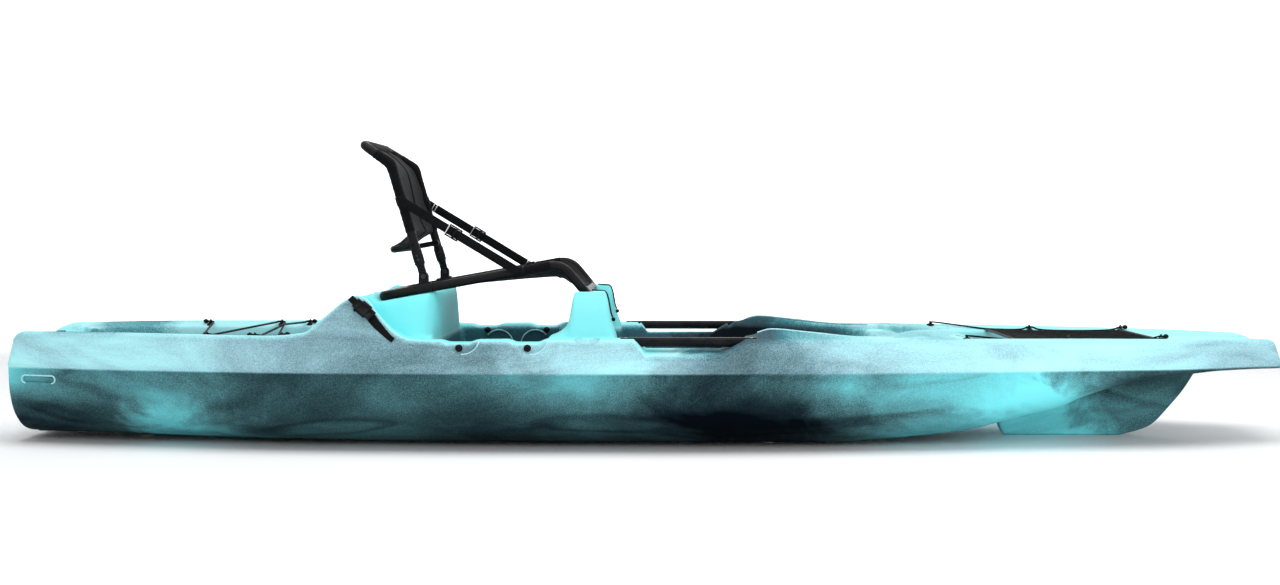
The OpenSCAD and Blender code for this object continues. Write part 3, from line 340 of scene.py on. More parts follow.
def raised(z, where):
    """Heights of the section, lifted to z on the deck's side where a form stands."""
    return np.where((rows >= deck_row) & where, np.maximum(half_z, z), half_z)


# Seat block behind the cockpit: a rounded step whose top follows the slope of the seat tubes.
CROSSBAR_X, BLOCK_X0, BLOCK_X1, FOOT_X, FOOT_Z = -727.0, -790.0, -566.0, -169.0, 412.0
SEAT_REAR_Z, TUBE_SLOPE, TUBE_R, TUBE_SEAT = 403.0, 89.0 / 491.0, 12.5, 13.2
BLOCK_HALF, BLOCK_CORNER, BLOCK_DRAFT = float(wall_y(HUMP_X)) + 6, 90.0, 22.0
LIP_X, LIP_RISE = CROSSBAR_X - TUBE_R - 2.5, 2
tube_bed = SEAT_REAR_Z + TUBE_SLOPE * (station_x - CROSSBAR_X) - TUBE_SEAT
block_top = np.where(station_x < LIP_X, SEAT_REAR_Z + LIP_RISE, tube_bed)
corner = np.maximum(0, station_x - (BLOCK_X1 - BLOCK_CORNER))
side = np.maximum(0, half_y - (BLOCK_HALF - BLOCK_CORNER))
from_edge = np.where(
    (corner > 0) & (side > 0),
    BLOCK_CORNER - np.sqrt(corner**2 + side**2),
    np.minimum(BLOCK_X1 - station_x, BLOCK_HALF - half_y),
)
from_edge = np.minimum(from_edge, (station_x - BLOCK_X0) * 3)
block_z = COCKPIT_FLOOR + (block_top - COCKPIT_FLOOR) * soft_step(from_edge / BLOCK_DRAFT + 0.6)
half_z = raised(block_z, from_edge > -BLOCK_DRAFT)

# Pedestals at the cockpit's sides, each with a groove for the foot of the seat tube.
PEDESTAL_IN, PEDESTAL_OUT, PEDESTAL_Z, PEDESTAL_DRAFT = 185.0, 295.0, 418.0, 14.0
GROOVE_END, GROOVE_R, LEDGE_Z, PEDESTAL_BASE, PEDESTAL_REACH = 246.0, 13.0, GUNWALE_Z - 4, COCKPIT_FLOOR - 20, 118.0
from_foot = station_x - FOOT_X
pedestal_z = np.interp(
    from_foot,
    [-116, -104, -74, -52, -41, -34, 56, 68, 88, 96],
    [80, 295, 306, 322, 346, PEDESTAL_Z, PEDESTAL_Z, 338, 292, 80],
)
slot = np.interp(from_foot, [-32, -29, -13, 13.2, 14], [UNCUT, PEDESTAL_Z, 406, 412, UNCUT])
bed = FOOT_Z - np.sqrt(np.maximum(0, GROOVE_R**2 - from_foot**2))
slot = np.where(np.abs(from_foot) < GROOVE_R, np.minimum(slot, bed), slot)
pedestal_z = np.where(half_y < GROOVE_END, np.minimum(pedestal_z, slot), pedestal_z)
inner_face = soft_step((half_y - PEDESTAL_IN) / PEDESTAL_DRAFT + 0.6)
pedestal_z = PEDESTAL_BASE + (pedestal_z - PEDESTAL_BASE) * inner_face
outer_face = soft_step((PEDESTAL_OUT - half_y) / PEDESTAL_DRAFT + 0.5)
pedestal_z = np.where(pedestal_z > LEDGE_Z, LEDGE_Z + (pedestal_z - LEDGE_Z) * outer_face, pedestal_z)
half_z = raised(pedestal_z, np.abs(from_foot) < PEDESTAL_REACH)

# A low rounded dome between the footwell and the bow well.
DOME_X, DOME_LONG, DOME_WIDE, DOME_Z0, DOME_RISE = 812.0, 128.0, 0.92, 250.0, 46.0
lengthways = np.clip(1 - ((station_x - DOME_X) / DOME_LONG) ** 2, 0, 1)
dome_share = lengthways * np.clip(1 - (half_y / (DOME_WIDE * wall_y(station_x))) ** 2, 0, 1)
half_z = raised(DOME_Z0 + DOME_RISE * np.sqrt(dome_share), dome_share > 0)

# Scoops outside the gunwale bolts, and round dishes in the cockpit's walls.
SCOOP_R, SCOOP_Z, SCOOP_AHEAD, DISH_R, DISH_Z = 44.0, GUNWALE_Z + 5, 10, 44.0, GUNWALE_Z - 66
DISH_X = (BOLT_X[0] + 34, BOLT_X[1] - 34)
topside = (rows >= chine_row + 2) & (rows < deck_row + 3)
cockpit_wall = (rows >= deck_row + DECK_STEPS + 2) & (rows < floor_row)
hollows = [(x + SCOOP_AHEAD, SCOOP_Z, SCOOP_R + 4, 9, topside, np.minimum, edge_y(x) - 4) for x in BOLT_X]
hollows += [(x, DISH_Z, DISH_R + 3, 8, cockpit_wall, np.maximum, wall_y(x) + 1) for x in DISH_X]
for x, z, r, rim, on_rows, bound, face_y in hollows:
    depth = on_rows * soft_step((r - np.hypot(station_x - x, half_z - z)) / rim)
    half_y = half_y + (bound(half_y, face_y) - half_y) * depth

# The moulding's inner corners and the edges of its raised forms are rounded over.
soft_rows = (rows >= deck_row + 4)[None, :] & (station_x > BLOCK_X0 - 40) & (station_x < FOOT_X + 130)
for _ in range(3):
    around = half_z.copy()
    around[1:-1, 1:-1] = (half_z[:-2, 1:-1] + half_z[2:, 1:-1] + half_z[1:-1, :-2] + half_z[1:-1, 2:]) / 4
    half_z = np.where(soft_rows, 0.5 * half_z + 0.5 * around, half_z)


def ring_faces(row_n, col_n, closed=True):
    """Faces over rows of points; where closed, each row's last point is joined to its first."""
    spans = [(k, (k + 1) % col_n) for k in range(col_n if closed else col_n - 1)]
    starts = [(i * col_n, (i + 1) * col_n) for i in range(row_n - 1)]
    return [(i + a, i + b, j + b, j + a) for i, j in starts for a, b in spans]


ring_y = np.concatenate([half_y, -half_y[:, -2:0:-1]], axis=1)
ring_z = np.concatenate([half_z, half_z[:, -2:0:-1]], axis=1)
ring_n, station_n = ring_y.shape[1], len(stations)
hull_verts = np.stack([np.repeat(stations[:, None], ring_n, axis=1), ring_y, ring_z], axis=2).reshape(-1, 3)
hull_faces = [(b, c, d, a) for a, b, c, d in ring_faces(station_n, ring_n)]
for end, turn in ((0, -1), (station_n - 1, 1)):
    middle = len(hull_verts)
    rim = [end * ring_n + k for k in range(ring_n)]
    hull_verts = np.vstack([hull_verts, hull_verts[rim].mean(axis=0)])
    hull_faces += [(middle, rim[k], rim[(k + 1) % ring_n])[::turn] for k in range(ring_n)]
shell = add_mesh("hull_shell", hull_verts * MM, hull_faces)

# A mark on the skin that the colour is laid by: 0 outside, 1 on the side decks and 2 in the wells, where painted shade
# goes.
mark = np.clip((rows - deck_row + 7) / 6, 0, 1) + np.clip((rows - deck_row - DECK_STEPS - 1) / 3, 0, 1)
mark = np.concatenate([np.tile(np.concatenate([mark, mark[-2:0:-1]]), station_n), [0, 0]])
shell.data.attributes.new("deck", "FLOAT", "POINT").data.foreach_set("value", mark.astype(np.float32))


# Drains, side slots, rail beds and plug seat are cut through the moulding.
def cutter(outline, base, top, place, turn=None):
    """Closed prism over an outline in its own XY plane, turned and placed in millimetres."""
    n = len(outline)
    verts = [Vector((x, y, z)) for z in (base, top) for x, y in outline]
    verts = [((turn @ v if turn else v) + Vector(place)) * MM for v in verts]
    ends = [tuple(range(n))[::-1], tuple(range(n, 2 * n))]
    return add_mesh("cut", verts, ends + ring_faces(2, n), smooth=False)


def circle(r, n=40):
    return [(r * cos(2 * pi * k / n), r * sin(2 * pi * k / n)) for k in range(n)]


def stadium(length, height, n=14):
    r, out = height / 2, length / 2 - height / 2
    right = [(out + r * cos(t), r * sin(t)) for t in np.linspace(-pi / 2, pi / 2, n)]
    return right + [(-x, -y) for x, y in right]


def put_work(name, work):
    """Puts a bmesh into the scene as a piece and frees it."""
    mesh = bpy.data.meshes.new(name)
    work.to_mesh(mesh)
    work.free()
    return put(name, mesh)


def ellipsoid(place, radii):
    work = bmesh.new()
    bmesh.ops.create_uvsphere(work, u_segments=28, v_segments=16, radius=MM)
    bmesh.ops.scale(work, vec=radii, verts=work.verts)
    bmesh.ops.translate(work, vec=Vector(place) * MM, verts=work.verts)
    return put_work("cut", work)


def evaluated(piece):
    bpy.context.view_layer.update()
    return bpy.data.meshes.new_from_object(piece.evaluated_get(bpy.context.evaluated_depsgraph_get()))


FOOT_SCOOP, SCOOP_SPAN = (FOOT_X + 10, 392.0, GUNWALE_Z + 2), (34.0, 84.0, 15.0)
DRAIN_R, PLUG_R, PLUG_HEAD_R, PLUG_DEEP, OPEN_Z = 16.0, 12.3, 23.0, 43.0, 400.0
DRAINS = ((STERN + 330, 70), (STERN + 690, 90), (COCKPIT_X0 + 130, 200), (COCKPIT_X0 + 880, 180), (BOW - 880, 90))
PLUG_X, PLUG_SEAT = STERN + 62, DECK_Z - 6
SLOT_X, SLOT_Z, SLOT_L, SLOT_H, SLOT_DEEP = STERN + 95, CHINE_Z - 33, 98.0, 18.0, 12.0
RAIL_LOW, RAIL_HIGH = (np.array(corner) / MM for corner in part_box("rail_left"))
RAIL_Y, RAIL_Z = (RAIL_LOW[1:] + RAIL_HIGH[1:]) / 2
BED_GAP = 0.3
BED_R = (RAIL_HIGH[2] - RAIL_LOW[2]) / 2 + BED_GAP
ALONG_X = Matrix(((0, 0, 1), (1, 0, 0), (0, 1, 0)))
cutters = [cutter(circle(DRAIN_R), -20, 320, (x, s * y, 0)) for x, y in DRAINS for s in (1, -1)]
cutters += [ellipsoid((FOOT_SCOOP[0], s * FOOT_SCOOP[1], FOOT_SCOOP[2]), SCOOP_SPAN) for s in (1, -1)]
for r, base in ((PLUG_R, PLUG_SEAT - PLUG_DEEP), (PLUG_HEAD_R, PLUG_SEAT)):
    cutters.append(cutter(circle(r), base, OPEN_Z, (PLUG_X, 0, 0)))
bed_outline = [(BED_R * cos(t), BED_R * sin(t)) for t in np.linspace(pi, 2 * pi, 22)] + [(BED_R, 60), (-BED_R, 60)]
slot_rise = float(half_breadth(SLOT_X + SLOT_L / 2) - half_breadth(SLOT_X - SLOT_L / 2))
for s in (1, -1):
    bed_ends = (RAIL_LOW[0] - BED_GAP, RAIL_HIGH[0] + BED_GAP)
    cutters.append(cutter(bed_outline, *bed_ends, (0, s * RAIL_Y, RAIL_Z), ALONG_X))
    turn = Matrix.Rotation(s * atan2(slot_rise, SLOT_L), 3, "Z") @ Matrix.Rotation(pi / 2, 3, "X")
    slot_ends = (-20, SLOT_DEEP) if s == 1 else (-SLOT_DEEP, 20)
    slot_place = (SLOT_X, s * float(half_breadth(SLOT_X)), SLOT_Z)
    cutters.append(cutter(stadium(SLOT_L, SLOT_H), *slot_ends, slot_place, turn))
for piece in cutters:
    cut = shell.modifiers.new("cut", "BOOLEAN")
    cut.operation, cut.solver, cut.object = "DIFFERENCE", "MANIFOLD", piece
shell_mesh = evaluated(shell)
shell.modifiers.clear()
shell.data = shell_mesh
for piece in cutters:
    bpy.data.objects.remove(piece)
shell_mesh.shade_smooth()
shell_mesh.set_sharp_from_angle(angle=radians(38))


# The colour is marbled in the mould: aqua resin with clouds of dark pigment, heavier amidships, drawn out into swirls
# and broken up into fine grains. Below the chine the darker colour is partly that pigment and partly painted shade.
def add_node(kind, settings=None, tree=None, **inputs):
    """Adds a node to the tree of what feeds it. Inputs i0, i1 and so on go by number, the others by name."""
    fed = {key: value for key, value in inputs.items() if isinstance(value, bpy.types.NodeSocket)}
    tree = tree or next(iter(fed.values())).id_data
    made = tree.nodes.new(kind)
    for key, value in (settings or {}).items():
        setattr(made, key, value)
    for key, value in inputs.items():
        socket = made.inputs[int(key[1:]) if key[1:].isdigit() else key]
        if key in fed:
            tree.links.new(value, socket)
        else:
            socket.default_value = value
    return made.outputs[0]


def calc(operation, a, b=0.0, clamp=False):
    return add_node("ShaderNodeMath", {"operation": operation, "use_clamp": clamp}, i0=a, i1=b)


def times(a, b):
    return calc("MULTIPLY", a, b)


def spanned(value, from_low, from_high, to_low=0.0, to_high=1.0, smooth=False):
    kind = {"interpolation_type": "SMOOTHSTEP" if smooth else "LINEAR"}
    return add_node("ShaderNodeMapRange", kind, i0=value, i1=from_low, i2=from_high, i3=to_low, i4=to_high)


def ramp(value, stops):
    out = add_node("ShaderNodeValToRGB", i0=value)
    elements = out.node.color_ramp.elements
    elements.remove(elements[1])
    elements[0].position = stops[0][0]
    for k, (place, color) in enumerate(stops):
        (elements.new(place) if k else elements[0]).color = (*color, 1)
    return out


def grain(where, scale, detail=2.0, roughness=0.5, distortion=0.0):
    settings = dict(Scale=scale, Detail=detail, Roughness=roughness, Distortion=distortion)
    return add_node("ShaderNodeTexNoise", Vector=where, **settings)


def drawn_out(where, scale, place=(0, 0, 0)):
    return add_node("ShaderNodeMapping", Vector=where, Scale=scale, Location=place)


def shade(shader, color, height, strength, depth, rough=None):
    """Links a pattern to a shader: its base colour, its bump and, where given, its roughness."""
    bump = add_node("ShaderNodeBump", Height=height, Strength=strength, Distance=depth)
    for label, value in (("Base Color", color), ("Normal", bump), ("Roughness", rough)):
        if value is not None:
            shader.id_data.links.new(value, shader.inputs[label])


hull_plastic, hull_shader, spot = new_material("hull_plastic", (0.17, 0.76, 0.80), 0.42, specular=0.07)
spot_x, _, spot_z = add_node("ShaderNodeSeparateXYZ", i0=spot).node.outputs
wander = times(calc("SUBTRACT", grain(spot, 7.0, 5.0, 0.62, 0.6), 0.5), 0.36)
wander = calc("ADD", wander, times(calc("SUBTRACT", spot_z, 0.14), 0.5))
along_boat = spanned(calc("ADD", spot_x, wander), STERN * MM, BOW * MM)


def pigment_and_shade(*stops):
    """Share of dark along the boat, of marbled pigment and, below the chine, of painted shade too, as stops of a place
    in metres and a share.
    """
    return ramp(along_boat, [((x - STERN * MM) / ((BOW - STERN) * MM), (v, v, v)) for x, v in stops])


def mixed(share, a, b):
    return add_node("ShaderNodeMix", i0=share, i2=a, i3=b)


def mixed_tint(share, a, b):
    return add_node("ShaderNodeMix", {"data_type": "RGBA"}, i0=share, i6=a, i7=b).node.outputs[2]


topside_share = pigment_and_shade(
    (-1.75, 0.13), (-1.3, 0.16), (-1.0, 0.22), (-0.7, 0.34), (-0.36, 0.46), (-0.2, 0.18), (0.0, 0.15), (0.14, 0.32),
    (0.3, 0.52), (0.46, 0.40), (0.6, 0.20), (0.8, 0.08), (1.05, 0.09), (1.35, 0.21), (1.75, 0.32),
)
# Below the chine, upper_share and lower_share hold painted shade as well as the resin's clouds of pigment.
upper_share = pigment_and_shade(
    (-1.75, 0.12), (-1.55, 0.32), (-1.3, 0.44), (-1.1, 0.48), (-0.85, 0.48), (-0.45, 0.58), (-0.2, 0.22), (0.0, 0.44),
    (0.14, 0.64), (0.3, 0.64), (0.45, 0.36), (0.62, 0.14), (0.8, 0.06), (1.08, 0.03), (1.2, 0.46), (1.35, 0.74),
    (1.75, 0.56),
)
lower_share = pigment_and_shade(
    (-1.75, 0.66), (-1.46, 0.54), (-1.36, 0.12), (-1.24, 0.16), (-1.08, 0.52), (-0.7, 0.56), (-0.5, 0.72),
    (-0.18, 0.60), (0.02, 0.64), (0.14, 0.90), (0.32, 0.92), (0.46, 0.58), (0.62, 0.30), (0.8, 0.10), (0.95, 0.0),
    (1.17, 0.0), (1.29, 0.42), (1.4, 0.40), (1.75, 0.58),
)
deck_share = pigment_and_shade(
    (-1.75, 0.12), (-1.62, 0.10), (-1.52, 0.38), (-1.40, 0.40), (-1.28, 0.14), (-1.0, 0.11), (-0.78, 0.0), (0.05, 0.03),
    (0.15, 0.12), (0.24, 0.52), (0.32, 0.72), (0.40, 0.64), (0.47, 0.42), (0.60, 0.28), (0.70, 0.12), (0.80, 0.30),
    (0.92, 0.24), (1.0, 0.08), (1.75, 0.12),
)
below_chine = spanned(spot_z, 0.213, 0.206, smooth=True)
low_down = spanned(spot_z, 0.19, 0.08, smooth=True)
inwards = add_node("ShaderNodeAttribute", {"attribute_name": "deck"}, hull_plastic.node_tree).node.outputs["Fac"]
inside, in_well = spanned(inwards, 0.0, 1.0), spanned(inwards, 1.0, 2.0)
# Painted shade in the wells: the colour darkens with depth, from 300 mm down in the cockpit and from 272 mm down in the
# other wells.
in_cockpit = times(spanned(spot_x, -0.62, -0.56), spanned(spot_x, 0.70, 0.50))
shaded = times(spanned(spot_z, 0.300, 0.270, 0.0, 0.53, smooth=True), in_cockpit)
shaded = calc("MAXIMUM", shaded, spanned(spot_z, 0.272, 0.240, 0.0, 0.42, smooth=True))
outside_share = mixed(below_chine, topside_share, mixed(low_down, upper_share, lower_share))
share = mixed(inside, outside_share, calc("ADD", deck_share, times(shaded, in_well)))
clouds = calc("SUBTRACT", grain(drawn_out(spot, (0.55, 1.0, 1.5)), 3.4, 5.0, 0.60, 0.9), 0.5)
share = calc("ADD", share, times(clouds, spanned(inside, 0.0, 1.0, 0.75, 0.12)))
swirl = grain(drawn_out(spot, (0.42, 0.8, 1.5), (0.35, 0.1, 0.2)), 2.1, 3.0, 0.45, 0.8)
swirl = calc("PINGPONG", times(swirl, 5.0), 0.5)
swirl = times(spanned(swirl, 0.0, 0.2, 0.13, 0.0, smooth=True), below_chine)
share = calc("ADD", share, times(swirl, spanned(share, 0.0, 0.35, 0.15, 1.0)), clamp=True)
grains = calc("SUBTRACT", grain(spot, 360.0, 3.0, 0.75), 0.5)
middling = times(share, calc("SUBTRACT", 1.0, share))
toned = calc("ADD", share, times(grains, times(middling, 3.6)), clamp=True)
# The topsides' tint is paler as painted light; the bilge's tint is darker and more saturated as painted shade; the
# deck's tint is the resin's own.
TOPSIDE_LIT_TINT = (
    (0.0, (0.44, 0.93, 0.93)), (0.13, (0.37, 0.71, 0.78)), (0.28, (0.27, 0.46, 0.52)), (0.45, (0.135, 0.25, 0.29)),
    (0.65, (0.06, 0.10, 0.115)), (0.85, (0.014, 0.030, 0.038)), (1.0, (0.004, 0.006, 0.009)),
)
BILGE_SHADE_TINT = (
    (0.0, (0.18, 0.72, 0.77)), (0.2, (0.11, 0.38, 0.42)), (0.4, (0.070, 0.185, 0.205)), (0.6, (0.030, 0.075, 0.084)),
    (0.8, (0.009, 0.021, 0.028)), (1.0, (0.001, 0.003, 0.005)),
)
DECK_TINT = (
    (0.0, (0.20, 0.79, 0.82)), (0.13, (0.40, 0.78, 0.82)), (0.3, (0.17, 0.46, 0.50)), (0.45, (0.045, 0.19, 0.235)),
    (0.65, (0.048, 0.092, 0.115)), (1.0, (0.006, 0.010, 0.014)),
)
tint = mixed_tint(below_chine, ramp(toned, TOPSIDE_LIT_TINT), ramp(toned, BILGE_SHADE_TINT))
tint = mixed_tint(inside, tint, ramp(toned, DECK_TINT))
hull_rough = spanned(grain(spot, 60.0, 4.0), 0.3, 0.7, 0.46, 0.62)
shade(hull_shader, tint, grain(spot, 520.0, 3.0), 0.10, 0.0006, hull_rough)
hull_shader.inputs["IOR"].default_value = 1.2
shell_mesh.materials.clear()
shell_mesh.materials.append(hull_plastic)


def fit(piece, body, slot, *stands_for):
    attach(piece, body)
    if stands_for:
        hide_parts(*stands_for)
    return piece


fit(shell, "hull", "hull_plastic", "hull_body")


# Wear plate. A black plastic shoe let into the keel at the stern, which takes the scrapes when
# the boat is dragged. It keeps its solid, and shows pale scratches along the boat.
def finish_nodes(material, *names):
    for name in names:
        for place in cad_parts[name].material_slots:
            place.material = material


def black_moulding(name, color, roughness, grain_scale, scuffs):
    """Black moulded plastic with a fine spark-eroded grain, duller in places, and pale scuffs."""
    made, shader, where = new_material(name, color, roughness, specular=0.14)
    worn = grain(drawn_out(where, (0.25, 1.0, 1.0)), 210.0, 4.0, 0.7, 0.4)
    worn = spanned(worn, 0.66 - scuffs, 0.80, smooth=True)
    pale = tuple(min(1.0, 4.5 * c + 0.03) for c in color)
    dull = spanned(grain(where, 35.0, 3.0), 0.3, 0.7, roughness - 0.08, roughness + 0.12)
    shade(shader, ramp(worn, [(0.0, color), (1.0, pale)]), grain(where, grain_scale), 0.12, 0.0004, dull)
    return made


black_plastic = black_moulding("black_plastic", (0.005, 0.005, 0.006), 0.38, 900.0, 0.0)
finish_nodes(black_moulding("scraped_plastic", (0.012, 0.012, 0.013), 0.48, 700.0, 0.12), "skid_plate")

# Drain plug. A threaded black plug with a grip bar, screwed down on a rubber ring in the stern deck.
# It keeps its solids, each with a moulded finish of its own.
finish_nodes(black_moulding("plug_plastic", (0.011, 0.011, 0.012), 0.34, 1100.0, 0.02), "drain_plug")
finish_nodes(black_moulding("gasket_rubber", (0.020, 0.020, 0.021), 0.72, 500.0, 0.0), "drain_gasket")


# Accessory rails. Black anodised tubes bedded in the side decks across a gap for clamps, each held
# down by a countersunk screw at both ends.
def drawn_metal(name, color, roughness, metallic, streak):
    """Drawn or brushed metal: fine streaks along the boat in its roughness and bump."""
    made, shader, where = new_material(name, color, roughness, metallic, 0.08)
    lines = grain(drawn_out(where, streak), 900.0, 3.0, 0.6)
    tone = tuple(min(1.0, 1.9 * c + 0.006) for c in color)
    blotches = ramp(grain(where, 28.0, 4.0, 0.65), [(0.35, color), (0.75, tone)])
    dull = spanned(lines, 0.25, 0.75, roughness - 0.07, roughness + 0.10)
    shade(shader, blotches, lines, 0.06, 0.0003, dull)
    return made


anodised = drawn_metal("anodised_rail", (0.004, 0.004, 0.005), 0.30, 0.0, (0.02, 1.0, 1.0))
steel = drawn_metal("steel", (0.62, 0.62, 0.61), 0.26, 1.0, (1.0, 0.1, 1.0))
finish_nodes(anodised, "rail_left", "rail_right")


def turned(name, profile, sides=24, hexed=()):
    """Turned shape round Z from (radius, height) points; rings named in hexed are six-sided."""
    verts = []
    for ring, (r, z) in enumerate(profile):
        for t in 2 * pi * np.arange(sides) / sides:
            flat = cos(pi / 6) / cos((t + pi / 6) % (pi / 3) - pi / 6) if ring in hexed else 1.0
            verts.append((r * flat * cos(t), r * flat * sin(t), z))
    last = len(verts) - sides
    ends = [tuple(range(sides))[::-1], tuple(range(last, last + sides))]
    piece = add_mesh(name, np.array(verts) * MM, ends + ring_faces(len(profile), sides))
    piece.data.set_sharp_from_angle(angle=radians(35))
    return piece


def new_tree(name, *inputs):
    tree = bpy.data.node_groups.new(name, "GeometryNodeTree")
    for label, kind in (("Geometry", "Geometry"), *inputs):
        tree.interface.new_socket(label, in_out="INPUT", socket_type="NodeSocket" + kind)
    tree.interface.new_socket("Geometry", in_out="OUTPUT", socket_type="NodeSocketGeometry")
    return tree, tree.nodes.new("NodeGroupInput").outputs


def end_tree(tree, shape, finish):
    shape = add_node("GeometryNodeRealizeInstances", Geometry=shape)
    shape = add_node("GeometryNodeSetMaterial", Geometry=shape, Material=finish)
    tree.links.new(shape, tree.nodes.new("NodeGroupOutput").inputs[0])


def grown(piece, tree, **values):
    """Runs a node tree on a piece and returns the result as a plain mesh piece of the same name."""
    name = piece.name
    run = piece.modifiers.new("grow", "NODES")
    run.node_group = tree
    for item in tree.interface.items_tree:
        if item.in_out == "INPUT" and item.name in values:
            run[item.identifier] = values[item.name]
    mesh = evaluated(piece)
    bpy.data.objects.remove(piece)
    return put(name, mesh)


# One of a part is set at each point of a mesh, its Z along "facing" and its X along "along".
point_tree, given = new_tree("set_on_points", ("Part", "Object"), ("Size", "Float"), ("Finish", "Material"))
part_shape = add_node("GeometryNodeObjectInfo", Object=given["Part"]).node.outputs["Geometry"]
facing, along = (
    add_node("GeometryNodeInputNamedAttribute", {"data_type": "FLOAT_VECTOR"}, point_tree, Name=label)
    for label in ("facing", "along")
)
axes = {"primary_axis": "Z", "secondary_axis": "X"}
stance = add_node("FunctionNodeAxesToRotation", axes, i0=facing, i1=along)
copies = dict(Points=given["Geometry"], Instance=part_shape, Rotation=stance, Scale=given["Size"])
end_tree(point_tree, add_node("GeometryNodeInstanceOnPoints", **copies), given["Finish"])


def set_out(name, part, places, facings, finish, alongs=(1, 0, 0), size=1.0):
    """Copies of a part at places in millimetres, as one piece; a direction may be one for all."""
    dots = add_mesh(name, np.array(places) * MM, [], smooth=False)
    for label, values in (("facing", facings), ("along", alongs)):
        values = np.broadcast_to(np.array(values, np.float32), (len(places), 3))
        dots.data.attributes.new(label, "FLOAT_VECTOR", "POINT").data.foreach_set("vector", values.ravel())
    return grown(dots, point_tree, Part=part, Size=size, Finish=finish)


SCREW = [(0.1, -2), (4.6, -2), (5.0, -0.6), (4.7, 0.3), (3.6, 1.0), (2.7, 1.25), (2.5, 1.1), (2.3, -0.9), (0.1, -1.2)]
SCREW_IN, SCREW_SUNK = 14, 1.8
screw = turned("screw", SCREW, hexed=(6, 7))
rail_screw_x = (RAIL_LOW[0] + SCREW_IN, RAIL_HIGH[0] - SCREW_IN)
rail_screw_spots = [(x, s * RAIL_Y, RAIL_HIGH[2] - SCREW_SUNK) for x in rail_screw_x for s in (1, -1)]
fit(set_out("rail_screws", screw, rail_screw_spots, (0, 0, 1), steel), "hull", "steel", "rail_bolts")

# Gunwale bolts. Black through bolts that join the moulding's double wall: a domed head with a hex
# socket on a washer outside, a cap nut on a washer inside.
HEAD = [
    (0.1, -0.2), (9.6, -0.2), (9.9, 0.5), (9.6, 1.2), (8.4, 1.3), (8.3, 2.6), (7.6, 4.1), (6.2, 5.2), (4.4, 5.7),
    (3.4, 5.6), (3.1, 5.3), (2.9, 2.6), (0.1, 2.3),
]
CAP = [
    (0.1, -0.2), (9.6, -0.2), (9.8, 0.6), (9.3, 1.2), (7.6, 1.3), (7.6, 5.0), (6.4, 5.6), (5.6, 7.4), (3.4, 8.6),
    (0.1, 9.0),
]
HEAD_SEAT, CAP_SEAT = -3.7, 0.7
bolt_head = turned("bolt_head", HEAD, 30, hexed=(10, 11))
cap_nut = turned("cap_nut", CAP, 30, hexed=(4, 5))
BOLT_Z = sum(corner[2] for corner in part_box("gunwale_bolts")) / 2 / MM
gloss_plastic = black_moulding("gloss_black", (0.004, 0.004, 0.005), 0.20, 600.0, 0.0)
for name, part, node, face_y, seat, way in (
    ("gunwale_bolt_heads", bolt_head, "gunwale_bolts", edge_y, HEAD_SEAT, 1),
    ("gunwale_cap_nuts", cap_nut, "gunwale_nuts", wall_y, CAP_SEAT, -1),
):
    spots = [(x, s * (float(face_y(x)) + seat), BOLT_Z) for x in BOLT_X for s in (1, -1)]
    heads = set_out(name, part, spots, [(0, s * way, 0) for _ in BOLT_X for s in (1, -1)], gloss_plastic)
    fit(heads, "hull", "black_plastic", node)


# Pad eyes. Black moulded eyes screwed to the side decks, three a side beside the tankwell and two
# a side beside the bow well; the elastic cords run through them.
def deck_z(x, y):
    inner, outer = inner_y(x) + 12, edge_y(x) - 20
    t = (np.abs(y) - inner) / (outer - inner)
    return float(inner_z(x) + (sheer_z(x) - inner_z(x)) * np.clip(t, 0, 1))


def deck_facing(x, y, d=3):
    slope_x = (deck_z(x + d, y) - deck_z(x - d, y)) / (2 * d)
    slope_y = (deck_z(x, y + d) - deck_z(x, y - d)) / (2 * d)
    return tuple(Vector((-slope_x, -slope_y, 1)).normalized())


def run_of(steps):
    return np.concatenate([[0], np.cumsum(steps)])


def skin(name, grid, material=None, closed=True):
    """Skin over rows of points in millimetres; its UV map is in metres, across and along the rows.
    A closed skin joins the ends of its rows and is capped."""
    grid = np.asarray(grid, float) * MM
    row_n, col_n = grid.shape[:2]
    ahead = np.concatenate([grid, grid[:, :1]], axis=1) if closed else grid
    u = run_of(np.linalg.norm(np.diff(ahead, axis=1), axis=2).mean(axis=0))
    v = run_of(np.linalg.norm(np.diff(grid, axis=0), axis=2).mean(axis=1))
    faces, uvs = ring_faces(row_n, col_n, closed), []
    for v0, v1 in zip(v, v[1:]):
        for u0, u1 in zip(u, u[1:]):
            uvs += [(u0, v0), (u1, v0), (u1, v1), (u0, v1)]
    for i, turn in ((0, -1), (row_n - 1, 1)) if closed else ():
        faces.append(tuple(i * col_n + k for k in range(col_n))[::turn])
        uvs += [(u[k], v[i]) for k in range(col_n)][::turn]
    piece = add_mesh(name, grid.reshape(-1, 3), faces)
    piece.data.uv_layers.new(name="UVMap").data.foreach_set("uv", np.array(uvs, np.float32).ravel())
    if closed:
        work = bmesh.new()
        work.from_mesh(piece.data)
        bmesh.ops.recalc_face_normals(work, faces=work.faces)
        work.to_mesh(piece.data)
        work.free()
    if material:
        piece.data.materials.append(material)
    return piece


def unit(v):
    return np.asarray(v, float) / np.linalg.norm(v)


def tube(name, path, radius, n, material=None):
    """Round tube along a path, of one radius or of one for each point, that twists as little as it can."""
    path = np.asarray(path, float)
    ways = np.gradient(path, axis=0)
    ways /= np.linalg.norm(ways, axis=1)[:, None]
    side = np.cross(ways[0], (0, 0, 1) if abs(ways[0][2]) < 0.9 else (0, 1, 0))
    rings = []
    for p, way, r in zip(path, ways, np.broadcast_to(radius, len(path))):
        side = unit(side - way * (side @ way))
        up = np.cross(way, side)
        rings.append([p + r * (cos(t) * side + sin(t) * up) for t in 2 * pi * np.arange(n) / n])
    return skin(name, rings, material)


